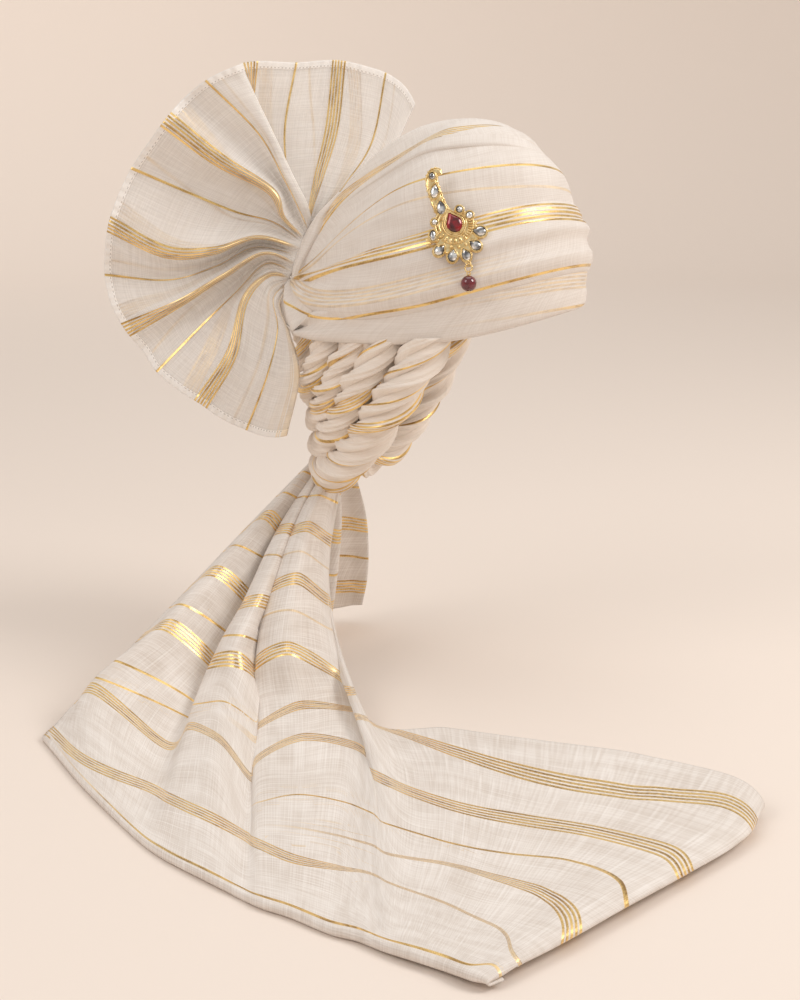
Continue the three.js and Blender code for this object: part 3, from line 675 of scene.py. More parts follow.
@dataclass(frozen=True)
class CrownForm:
    """The egg-like form that the crown is wound on, in millimetres."""

    half_width: float = 84.5
    half_depth: float = 107.5
    height: float = 135.5
    apex_forward: float = 30.0
    rim_tilt: float = 8.0 / 115.0
    pole_back: float = 80.0
    pole_height: float = 27.0
    squareness: tuple[tuple[float, float], ...] = (
        (-90.0, 2.3), (0.0, 2.1), (90.0, 1.8), (126.0, 1.6), (180.0, 2.0), (270.0, 2.3),
    )

    def power(self, bearing: Array) -> Array:
        """How square the profile is towards a bearing in radians."""
        rows = np.array(self.squareness)
        degrees = (np.degrees(bearing) + 90.0) % 360.0 - 90.0
        first = np.clip(np.searchsorted(rows[:, 0], degrees, side="right") - 1, 0, len(rows) - 2)
        share = (degrees - rows[first, 0]) / (rows[first + 1, 0] - rows[first, 0])
        return lerp(rows[first, 1], rows[first + 1, 1], (1.0 - np.cos(np.pi * share)) / 2.0)

    def rim(self, bearing: Array, inset: float = 0.0) -> tuple[Array, Array]:
        """Where the rim lies.

        Args:
            bearing: Bearings about the apex in radians.
            inset: How far inside the form, in millimetres.

        Returns:
            The reach from the apex's foot, and the height.
        """
        wide, deep = self.half_width - inset, self.half_depth - inset
        across, along = np.cos(bearing) / wide, np.sin(bearing) / deep
        shift = -self.apex_forward / deep
        square = across**2 + along**2
        reach = (-shift * along + np.sqrt((shift * along) ** 2 - square * (shift**2 - 1.0))) / square
        return reach, -self.rim_tilt * (reach * np.sin(bearing) - self.apex_forward)

    def level(self, points: Array) -> Array:
        """1 on the form's surface, less inside it."""
        forward = points[..., 1] + self.apex_forward
        bearing = np.arctan2(forward, points[..., 0])
        reach, foot = self.rim(bearing)
        out = np.hypot(points[..., 0], forward) / reach
        rise = np.maximum((points[..., 2] - foot) / (self.height - foot), 0.0)
        power = self.power(bearing)
        return (out**power + rise**power) ** (1.0 / power)

    def normal(self, points: Array) -> Array:
        """The outward direction at points on the surface."""
        steps = np.eye(3) * 0.5
        return unit(np.stack([self.level(points + step) - self.level(points - step) for step in steps], -1))

    def point(self, sweep: Array, turn: Array) -> Array:
        """Points where rays from the winding axis meet the surface.

        Args:
            sweep: Degrees along a wrap, from 0 at the knot to 180 at the far side.
            turn: Degrees round the winding axis, from 0 straight ahead to 90 straight up.

        Returns:
            The points in millimetres.
        """
        ray = np.stack([
            -np.cos(np.radians(sweep)),
            -np.sin(np.radians(sweep)) * np.cos(np.radians(turn)),
            np.sin(np.radians(sweep)) * np.sin(np.radians(turn)),
        ], -1)
        start = np.array([0.0, self.pole_back, self.pole_height])
        near = np.zeros(ray.shape[:-1])
        far = np.full(ray.shape[:-1], 320.0)
        for _ in range(36):
            middle = (near + far) / 2.0
            inside = self.level(start + ray * middle[..., None]) < 1.0
            near = np.where(inside, middle, near)
            far = np.where(inside, far, middle)
        return start + ray * near[..., None]

    def rim_turn(self, sweep: Array, high: float, low: float) -> Array:
        """The turn at which a wrap reaches the rim.

        Args:
            sweep: Degrees along the wrap.
            high: A turn above the rim.
            low: A turn below it.

        Returns:
            The turns in degrees.
        """
        above = np.full_like(sweep, high)
        below = np.full_like(sweep, low)
        for _ in range(30):
            middle = (above + below) / 2.0
            points = self.point(sweep, middle)
            over = points[..., 2] > -self.rim_tilt * points[..., 1]
            above = np.where(over, middle, above)
            below = np.where(over, below, middle)
        return above


@dataclass(frozen=True)
class Wrap:
    """One wrap of the crown: its edges in degrees of turn at even stations, its fullness and its stripes."""

    name: str
    node: str
    low: tuple[float, ...]
    high: tuple[float, ...]
    rest: float
    swell: float
    rolled_low: bool
    rolled_high: bool
    stripes: StripeSet
    flat: tuple[float, float]
    seed: int
    crest: float = 0.0


def band(pole: float, middle: float) -> tuple[float, ...]:
    """Edge turns at ten even stations, from the value beside the poles to the value half way round."""
    sweeps = np.radians(np.linspace(0.0, 180.0, 10))
    return tuple(float(lerp(pole, middle, max(math.sin(sweep), 0.0) ** 0.7)) for sweep in sweeps)


@dataclass
class Crown:
    """The wound crown: a lining turn and five wraps over it."""

    cloth: Material
    form: CrownForm = field(default_factory=CrownForm)
    pole_clear: float = 1.2
    columns: int = 220
    rows: int = 62
    wall: float = 0.9
    roll: float = 3.2
    rim_raise: float = 9.0
    knot_swell: float = 8.0
    knot_sweep: float = 24.0
    brow_bounds: tuple[float, float] = (20.0, -108.0)
    back_bounds: tuple[float, float] = (120.0, 278.0)
    brow_sag: float = 3.0
    brow_sag_at: tuple[float, float] = (46.0, 24.0)
    end_sag: float = 8.0
    end_sag_at: tuple[float, float] = (24.0, 12.0)
    brow_shoulder: float = 9.0
    brow_shoulder_at: tuple[float, float] = (18.0, 18.0)
    raise_starts: tuple[float, float] = (58.0, 92.0)
    raise_ends: tuple[float, float] = (138.0, 112.0)
    lining_inset: float = 2.0
    lining_wall: float = 1.4
    lining_length: float = 0.55
    wraps: tuple[Wrap, ...] = (
        Wrap(
            "brow_cloth", "brow_wrap", (), band(-2.0, 18.0), 1.6, 5.5, True, False,
            StripeSet((
                Stripe(StripeKind.SINGLE, (-120.0, -43.0, -12.6, 0.0, 0.0, 0.0, 0.0, 0.0, 0.0, 0.0),
                       (1.0, 1.0, 1.0, 0.0, 0.0, 0.0, 0.0, 0.0, 0.0, 0.0)),
                Stripe(StripeKind.SINGLE, (-60.0, -40.0, -20.0, -8.0, -2.8, -3.2, -8.0, -16.0, -40.0, -60.0),
                       (0.0, 0.0, 0.0, 0.0, 0.3, 1.0, 1.0, 0.6, 0.0, 0.0)),
                Stripe(StripeKind.GROUP, (-46.0, -30.0, -14.0, -1.0, 3.0, 2.2, -1.0, -6.0, -16.0, -30.0),
                       (0.0, 0.0, 0.0, 0.0, 0.34, 0.36, 0.36, 0.3, 0.3, 0.0)),
            )),
            (0.076, 0.38), 11,
        ),
        Wrap(
            "middle_cloth", "middle_wrap",
            (-34.0, -31.0, -14.0, -2.2, 3.6, 3.6, -2.2, -12.0, -24.0, -36.0),
            (27.0, 26.0, 24.0, 22.0, 21.6, 20.0, 20.6, 22.0, 24.0, 26.0), 4.4, 3.6, True, True,
            StripeSet((
                Stripe(StripeKind.SINGLE, (-58.0, -44.0, -12.8, -0.4, 5.4, 5.2, 0.4, -8.0, -20.0, -30.0)),
                Stripe(StripeKind.GROUP, (-24.0, -14.0, -2.4, 5.6, 9.4, 9.6, 8.0, 4.0, -2.0, -10.0),
                       (0.36, 0.36, 0.36, 0.34, 0.0, 0.0, 0.0, 0.0, 0.0, 0.0)),
                Stripe(StripeKind.GROUP, (22.0, 21.0, 19.3, 17.7, 17.8, 15.8, 16.0, 17.0, 19.0, 20.0),
                       (1.0, 1.0), (1.0, 1.5, 1.35, 1.15, 1.05, 1.05, 1.0, 1.0, 1.0, 1.0)),
            )),
            (0.066, 0.38), 12,
        ),
        Wrap(
            "upper_cloth", "upper_wrap", band(11.0, 9.0),
            (92.0, 91.0, 86.0, 75.0, 52.0, 43.0, 46.0, 52.0, 60.0, 72.0), 1.6, 3.0, False, False,
            StripeSet((
                Stripe(StripeKind.SINGLE, (34.0, 34.0, 36.0, 31.6, 24.2, 20.8, 20.0, 22.0, 24.0, 26.0),
                       (0.36, 0.36)),
                Stripe(StripeKind.SINGLE, (38.0, 40.0, 42.5, 38.2, 29.5, 25.0, 26.0, 30.0, 34.0, 36.0)),
            )),
            (0.105, 0.36), 13, 3.0,
        ),
        Wrap(
            "top_cloth", "top_wrap",
            (78.0, 77.0, 69.0, 57.0, 36.5, 28.0, 31.0, 38.0, 46.0, 57.0),
            band(98.0, 78.0), 5.6, 2.0, True, True,
            StripeSet((
                Stripe(StripeKind.GROUP, (90.0, 89.0, 80.5, 66.5, 43.8, 33.2, 37.0, 44.0, 52.0, 64.0),
                       (1.0, 1.0), (1.0, 1.5, 1.7, 1.6, 1.4, 1.0, 1.0, 1.0, 1.0, 1.0)),
            )),
            (0.060, 0.34), 14,
        ),
        Wrap(
            "back_cloth", "back_wrap", band(88.0, 64.0), (), 1.0, 2.0, False, True,
            StripeSet((
                Stripe(StripeKind.SINGLE, band(120.0, 92.0)),
                Stripe(StripeKind.GROUP, band(150.0, 124.0)),
                Stripe(StripeKind.SINGLE, band(190.0, 160.0)),
                Stripe(StripeKind.GROUP, band(226.0, 205.0)),
            )),
            (0.060, 0.22), 15,
        ),
    )

    def build(self) -> None:
        """Builds the lining and the wraps."""
        self.build_lining()
        for wrap in self.wraps:
            piece = cloth_grid(
                wrap.name, self.columns, self.rows, lambda u, v, wrap=wrap: self.lay_wrap(wrap, u, v),
            )
            thicken(piece, self.wall)
            dress(piece, self.cloth, (wrap.node,))

    def pole(self) -> Array:
        """The winding axis, as depth and height in millimetres."""
        return np.array([self.form.pole_back, self.form.pole_height])

    def edges(self, wrap: Wrap, share: Array, sweep: Array) -> tuple[Array, Array]:
        """A wrap's lower and upper edges.

        Args:
            wrap: The wrap.
            share: Shares along it.
            sweep: The same places in degrees.

        Returns:
            The turns of both edges in degrees.
        """
        if wrap.low:
            low = row_value(np.array(wrap.low), share)
        else:
            low = self.form.rim_turn(sweep, *self.brow_bounds)
            low = low - self.brow_sag * bell(sweep, *self.brow_sag_at)
            low = low - self.end_sag * bell(sweep, *self.end_sag_at)
            raised = smoothstep(*self.raise_starts, sweep) * smoothstep(*self.raise_ends, sweep)
            reach = np.linalg.norm(self.form.point(sweep, low)[..., 1:] - self.pole(), axis=-1)
            low = low + np.degrees(self.rim_raise / reach) * raised
        if wrap.high:
            high = row_value(np.array(wrap.high), share)
        else:
            high = self.form.rim_turn(sweep, *self.back_bounds)
        return low, high

    def lay_wrap(self, wrap: Wrap, along: Array, across: Array) -> Laid:
        """Lays one wrap on the crown.

        Args:
            wrap: The wrap.
            along: Shares from the knot to the far side.
            across: Shares from the lower edge to the upper.

        Returns:
            The laid cloth.
        """
        share = along[:, 0]
        sweep = lerp(self.pole_clear, 180.0 - self.pole_clear, share)
        low, high = self.edges(wrap, sweep / 180.0, sweep)
        turn = lerp(low[:, None], high[:, None], across)
        base = self.form.point(np.repeat(sweep[:, None], turn.shape[1], 1), turn)
        outward = self.form.normal(base)
        reach = arc_lengths(base, 1)
        width = reach[:, -1:]
        round_the_axis = np.sin(np.radians(sweep))[:, None]
        lift = wrap.rest + 1.0 + wrap.swell * np.sin(np.pi * across) * round_the_axis**1.2
        lift = lift + self.folds(wrap, along, across, round_the_axis)
        lift = lift + self.knot_swell * bell(sweep[:, None], 0.0, self.knot_sweep)
        lift = lift + wrap.crest * smoothstep(0.45, 1.0, across)
        if not wrap.low:
            shoulder = self.brow_shoulder * bell(sweep[:, None], *self.brow_shoulder_at)
            lift = lift + shoulder * (1.0 - across**2)
        if wrap.rolled_low:
            lift = lift - self.tuck(reach)
        if wrap.rolled_high:
            lift = lift - self.tuck(width - reach)
        points = base + outward * lift[..., None]
        pace = np.gradient(reach, axis=1) / np.gradient(turn, axis=1)
        weave_across, gilt = wrap.stripes.lay(sweep / 180.0, turn, pace)
        weave = np.stack([arc_lengths(points, 0) * MM, weave_across], -1)
        return Laid(points, weave, gilt, thread_chart(points))

    def tuck(self, inset: Array) -> Array:
        """How far a rolled edge drops.

        Args:
            inset: Distances from the edge in millimetres.

        Returns:
            Drops in millimetres.
        """
        near = 1.0 - np.clip(inset / self.roll, 0.0, 1.0)
        return self.roll * 0.8 * (1.0 - np.sqrt(1.0 - near**2 * 0.98))

    def folds(self, wrap: Wrap, along: Array, across: Array, girth: Array) -> Array:
        """The soft folds that run from the knot round a wrap.

        Args:
            wrap: The wrap.
            along: Shares from the knot to the far side.
            across: Shares across the wrap.
            girth: How far each column is from the winding axis, from 0 to 1.

        Returns:
            Lifts in millimetres.
        """
        broad = Creases(wrap.seed, 16, 3.3, 0.09, 0.34, 0.08).rise(along, across)
        fine = Creases(wrap.seed + 50, 40, 0.7, 0.03, 0.18, 0.10).rise(along, across)
        drawn = bell(along, 0.0, 0.22) + bell(along, 1.0, 0.22)
        gathers = 2.8 * np.sin(across * math.tau * 3.0 + wrap.seed) * drawn
        return (broad + fine) * girth**0.6 + gathers * girth**0.5

    def build_lining(self) -> None:
        """Builds the inner turn of cloth that the wraps lie on."""
        piece = cloth_grid("lining_turn", 112, 40, self.lay_lining)
        shell = bmesh.new()
        shell.from_mesh(piece.data)
        bmesh.ops.remove_doubles(shell, verts=shell.verts, dist=WELD)
        bmesh.ops.recalc_face_normals(shell, faces=shell.faces)
        shell.to_mesh(piece.data)
        shell.free()
        thicken(piece, self.lining_wall)
        dress(piece, self.cloth, ("inner_turn",))

    def lay_lining(self, along: Array, across: Array) -> Laid:
        """Lays the lining just inside the form.

        Args:
            along: Shares of a turn about the apex.
            across: Shares from the rim to the apex.

        Returns:
            The laid cloth.
        """
        bearing = along * math.tau
        reach, foot = self.form.rim(bearing, self.lining_inset)
        foot = foot + (self.rim_raise + self.lining_inset) * smoothstep(0.1, 0.7, -np.sin(bearing))
        full = self.form.height - self.lining_inset - foot
        power = self.form.power(bearing)
        slope = np.minimum(across, 0.9995) * math.pi / 2.0
        out = np.cos(slope) ** (2.0 / power) * reach
        out = np.where(across >= 1.0, 0.0, out)
        rise = np.where(across >= 1.0, full, np.sin(slope) ** (2.0 / power) * full)
        points = np.stack([
            out * np.cos(bearing), out * np.sin(bearing) - self.form.apex_forward, foot + rise,
        ], -1)
        weave = np.stack([along * self.lining_length, arc_lengths(points, 1) * MM], -1)
        return Laid(points, weave, np.ones_like(along), weave)


@dataclass
class Fan:
    """The pleated fan at the side, a front sheet over a sheer back sheet, with the roll at its throat.

    A row of pleats is the turn, reach and height of the hem there, and then the turn and height at each
    of three stations nearer the throat, in degrees and millimetres.
    """

    cloth: Material
    veil: Material
    close_cloth: Material
    facing: float = -55.0
    centre: Triple = (-106.5, 30.0, -9.4)
    throat: tuple[Triple, ...] = (
        (20, 38, -9), (14, 38, -9), (17, 38, -6), (12, 30, 0), (10.5, 25, 3), (8.5, 18, 5),
        (5, 9, 6), (1, 2, 6), (4, -1, 2),
    )
    turns_at: tuple[float, ...] = (0.0, 0.12, 0.30, 0.60, 1.0)
    columns: int = 400
    rows: int = 108
    wall: float = 0.7
    hem_width: float = 5.0
    corner: float = 5.0
    layer_gap: float = 6.0
    back_shift: float = 0.012
    back_share: float = 0.992
    first_stripe: float = 59.0
    faint_turns: tuple[float, float] = (259.0, 263.0)
    faint_gilt: float = 0.4
    pleats: tuple[tuple[float, ...], ...] = (
        (53.2, 157, -44, 49.5, -34, 55.5, -24, 60.5, -16), (62.8, 160, -48, 56.5, -36, 57.5, -25, 61, -16),
        (70.5, 158.5, -44, 66.5, -34, 65.5, -24, 65, -15), (77, 157, -42, 74, -31, 73.5, -22, 73, -14),
        (88, 151.5, -40, 91.5, -28, 91, -21, 84, -14), (98, 154, -26, 103.5, -24, 99, -20, 88, -13),
        (101.5, 154.5, -8, 100, -8, 93, -9, 82, -8), (103, 153.5, 2, 96.5, 4, 87.5, 4, 75, 2),
        (112, 150.5, 3, 101, 5, 91.5, 6, 81, 3), (119, 147, -4, 109.5, -4, 95, -3, 86, -1),
        (127, 141.5, 6, 119.5, 9, 100, 12, 94.5, 11), (135, 138, 0, 129, -8, 112, -10, 97, -6),
        (145, 136.5, -5, 139.5, -6, 129, -6, 105, -4), (154, 135, 0, 154, 1, 145, 1, 115, 2),
        (163, 134, 4, 167.5, 9, 159, 12, 125, 13), (171, 133.5, 0, 174, -1, 166, -4, 132, -3),
        (179, 133.5, -4, 181, -4, 171, -4, 137, 0), (188, 130, 2, 187, 4, 174, 4, 134, 6),
        (197, 124, 6, 191.5, 10, 175, 14, 130, 15), (206, 119, 2, 199, -3, 185, -4, 140, 2),
        (214, 117, 10, 207.5, 4, 194, 2, 146, 4), (224, 112, 18, 220, 16, 197, 8, 155, 7),
        (234, 108, 24, 231.5, 24, 202, 16, 164, 12), (244, 109, 26, 245, 27, 233, 18, 195, 14),
        (254.5, 110, 28, 258, 29, 258.5, 20, 230, 16), (269.5, 113, 36, 277, 35, 271, 24, 250, 18),
    )
    stripe_turns: tuple[float, ...] = (
        54.7, 64.2, 76.9, 88.1, 99.8, 112.0, 126.8, 145.0, 163.0, 179.0, 197.2, 214.5, 234.0, 254.0, 267.0,
    )
    roll_radius: float = 4.8
    roll_path: tuple[Triple, ...] = (
        (-102.6, 25.0, 4.0), (-98.6, 41.0, -3.0), (-90.6, 58.0, -8.0), (-82.2, 74.0, -11.5),
        (-68.6, 90.0, -15.2),
    )

    def place(self, across: Array, up: Array, out: Array) -> Array:
        """Points from the fan's own directions.

        Args:
            across: Distances to the right of the picture.
            up: Heights.
            out: Distances towards the picture.

        Returns:
            Points in the part's frame, in the same units.
        """
        turn = math.radians(self.facing)
        right = np.array([math.cos(turn), math.sin(turn), 0.0])
        front = np.array([math.sin(turn), -math.cos(turn), 0.0])
        return across[..., None] * right + up[..., None] * UP + out[..., None] * front

    def build(self) -> None:
        """Builds the two sheets and the roll."""
        back = cloth_grid("fan_back", self.columns // 2, self.rows // 2, self.lay_back)
        thicken(back, self.wall)
        dress(back, self.veil, ("fan",))
        front = cloth_grid("fan_front", self.columns, self.rows, self.lay_front)
        thicken(front, self.wall)
        dress(front, self.cloth, ("fan",))
        self.build_roll()

    def spread(self, along: Array, across: Array) -> Array:
        """The fan's middle surface.

        Args:
            along: Shares round the fan, from its upper end to its lower.
            across: Shares from the throat to the hem.

        Returns:
            Points as across, up and out of the fan.
        """
        rows = row_value(np.array(self.pleats, float), along[:, 0])
        throat = row_value(np.array(self.throat, float), along[:, 0])
        mouth = np.hypot(throat[:, 0], throat[:, 1])
        end = np.minimum(along[:, 0], 1.0 - along[:, 0])
        rows[:, 1] -= self.corner * (1.0 - np.clip(end / 0.03, 0.0, 1.0)) ** 2
        stations = [throat]
        turn_places, height_places = (7, 5, 3, 0), (8, 6, 4, 2)
        for share, turn, lean in zip(self.turns_at[1:], turn_places, height_places):
            reach = lerp(mouth, rows[:, 1], share)
            angle = np.radians(rows[:, turn])
            stations.append(np.stack([reach * np.cos(angle), reach * np.sin(angle), rows[:, lean]], -1))
        place = np.interp(across[0], self.turns_at, np.linspace(0.0, 1.0, len(self.turns_at)))
        spread = row_value(np.stack(stations), place).transpose(1, 0, 2)
        return spread + np.array(self.centre)

    def hem_inset(self, flat: Array) -> Array:
        """Distances of a sheet's points from its hem."""
        length = arc_lengths(flat, 1)
        return length[:, -1:] - length

    def weave_across(self, along: Array) -> Array:
        """The weave coordinate round the fan in metres, with a stripe at each measured turn."""
        rows = row_value(np.array(self.pleats, float), along[:, 0])
        steps = STRIPE_REPEAT / 2.0 * np.arange(len(self.stripe_turns))
        return np.interp(rows[:, 0], self.stripe_turns, steps)[:, None]

    def lay_front(self, along: Array, across: Array) -> Laid:
        """Lays the front sheet, with its small pleats and its hem.

        Args:
            along: Shares round the fan.
            across: Shares from the throat to the hem.

        Returns:
            The laid cloth.
        """
        flat = self.spread(along, across)
        ridges = Creases(21, 46, 1.3, 0.014, 0.45, 0.05).rise(across, along)
        fine = Creases(22, 80, 0.4, 0.006, 0.25, 0.05).rise(across, along)
        drawn = bell(across, 0.0, 0.25) * smoothstep(0.0, 0.06, across)
        gathers = 0.7 * np.sin(along * math.tau * 31.0) * drawn
        calm = smoothstep(1.0, 0.93, across) * smoothstep(0.0, 0.08, across)
        inset = self.hem_inset(flat)
        hem = 0.35 * smoothstep(self.hem_width, self.hem_width - 0.8, inset)
        ripple = 0.4 * np.sin(arc_lengths(flat, 0)[:, -1:] * math.tau / 7.0) * smoothstep(14.0, 0.0, inset)
        flat[..., 2] += (ridges + fine) * (0.35 + 0.65 * calm) + gathers + hem + ripple
        return self.chart(flat, along, across, inset, self.weave_across(along))

    def lay_back(self, along: Array, across: Array) -> Laid:
        """Lays the back sheet behind the front one.

        Args:
            along: Shares round the fan.
            across: Shares from the throat to the hem.

        Returns:
            The laid cloth.
        """
        flat = self.spread(along, across * self.back_share)
        behind = 1.2 + self.layer_gap * np.sin(np.pi * across) ** 0.8
        flat[..., 2] -= behind + Creases(23, 40, 1.2, 0.02, 0.4, 0.1).rise(across, along)
        inset = self.hem_inset(flat)
        slant = self.back_shift + 0.030 * (1.0 - across) * np.sin(along * math.tau * 1.5 + 0.6)
        return self.chart(flat, along, across, inset, self.weave_across(along) + slant)

    def chart(self, flat: Array, along: Array, across: Array, inset: Array, weave_across: Array) -> Laid:
        """Charts a sheet of the fan.

        Args:
            flat: Its points in the fan's own directions.
            along: Shares round the fan.
            across: Shares from the throat to the hem.
            inset: Distances from the hem in millimetres.
            weave_across: The weave coordinate across the stripes in metres.

        Returns:
            The laid cloth.
        """
        points = self.place(flat[..., 0], flat[..., 1], flat[..., 2])
        length = arc_lengths(points, 1)
        weave = np.stack([length * MM, np.broadcast_to(weave_across, along.shape)], -1)
        threads = np.stack([weave[..., 1], inset * MM], -1)
        turn = row_value(np.array(self.pleats, float), along[:, 0])[:, :1]
        faint = lerp(1.0, self.faint_gilt, smoothstep(*self.faint_turns, turn))
        gilt = smoothstep(0.0, 0.05, across) * (turn > self.first_stripe) * faint
        return Laid(points, weave, gilt, threads)

    def build_roll(self) -> None:
        """Builds the rolled lip of cloth between the crown and the fan."""
        piece = cloth_grid("throat_roll", 40, 120, self.lay_roll)
        close_tube(piece)
        dress(piece, self.close_cloth, ("knot_roll",))

    def lay_roll(self, around: Array, along: Array) -> Laid:
        """Lays the roll as a tapering tube with a turned edge.

        Args:
            around: Shares round the tube.
            along: Shares along it.

        Returns:
            The laid cloth.
        """
        path = row_value(np.array(self.roll_path), along[0])
        radius = self.roll_radius * (0.5 + 0.5 * np.sin(np.pi * np.clip(along, 0.04, 0.96)))
        turn = around * math.tau
        fold = 1.0 + 0.10 * np.sin(3.0 * turn + 9.0 * along) + 0.05 * np.sin(7.0 * turn - 5.0 * along)
        centre = self.place(path[:, 0], path[:, 1], path[:, 2])
        tangent = unit(np.gradient(centre, axis=0))
        front = self.place(np.zeros(1), np.zeros(1), np.ones(1))[0]
        points = tube_points(centre, unit(np.cross(tangent, front)), turn, radius * fold)
        weave = np.stack([arc_lengths(points, 1) * MM, 0.006 + around * 0.024], -1)
        return Laid(points, weave, np.zeros_like(around), thread_chart(points))


def tube_points(middle: Array, side: Array, turn: Array, radius: Array) -> Array:
    """Points of a tube about a middle line.

    Args:
        middle: Points of the line.
        side: The direction of the first turn at each of them.
        turn: Turns round the line in radians, shaped around by along.
        radius: Distances from the line, in the same layout.

    Returns:
        The points, around by along by three.
    """
    lift = np.cross(side, unit(np.gradient(middle, axis=0)))
    return (
        middle[None] + (np.cos(turn) * radius)[..., None] * side[None]
        + (np.sin(turn) * radius)[..., None] * lift[None]
    )


def close_tube(piece: Piece, cut_place: Vector | None = None, cut_normal: Vector | None = None) -> None:
    """Joins a grid's two long edges into a tube, cuts it where a plane is given, and closes its ends.

    Args:
        piece: The tube.
        cut_place: A point of the plane.
        cut_normal: The plane's direction, towards what is cut away.
    """
    tube = bmesh.new()
    tube.from_mesh(piece.data)
    bmesh.ops.remove_doubles(tube, verts=tube.verts, dist=WELD)
    if cut_place is not None:
        whole = tube.verts[:] + tube.edges[:] + tube.faces[:]
        bmesh.ops.bisect_plane(tube, geom=whole, plane_co=cut_place, plane_no=cut_normal, clear_outer=True)
    open_edges = [edge for edge in tube.edges if edge.is_boundary]
    bmesh.ops.holes_fill(tube, edges=open_edges, sides=0)
    bmesh.ops.recalc_face_normals(tube, faces=tube.faces)
    for face in tube.faces:
        face.smooth = True
    tube.to_mesh(piece.data)
    tube.free()


@dataclass(frozen=True)
class Rope:
    """One twisted rope of cloth that hangs round the nape."""

    low: float
    right: float
    left: float
    radius: float
    turned: float
    stripes: StripeSet


def rope_stripes(single: tuple[float, ...], group: tuple[float, ...], spread: float = 0.8) -> StripeSet:
    """Stripes that keep their places on a rope's strands.

    Args:
        single: Where the single stripes lie, as shares round the rope.
        group: Where the groups lie.
        spread: How wide the stripes are drawn.

    Returns:
        The stripes in their order round the rope.
    """
    kinds = [(place, StripeKind.SINGLE) for place in single] + [(place, StripeKind.GROUP) for place in group]
    return StripeSet(tuple(
        Stripe(kind, (place, place), (1.0, 1.0), (spread, spread))
        for place, kind in sorted(kinds, key=lambda row: row[0])
    ))


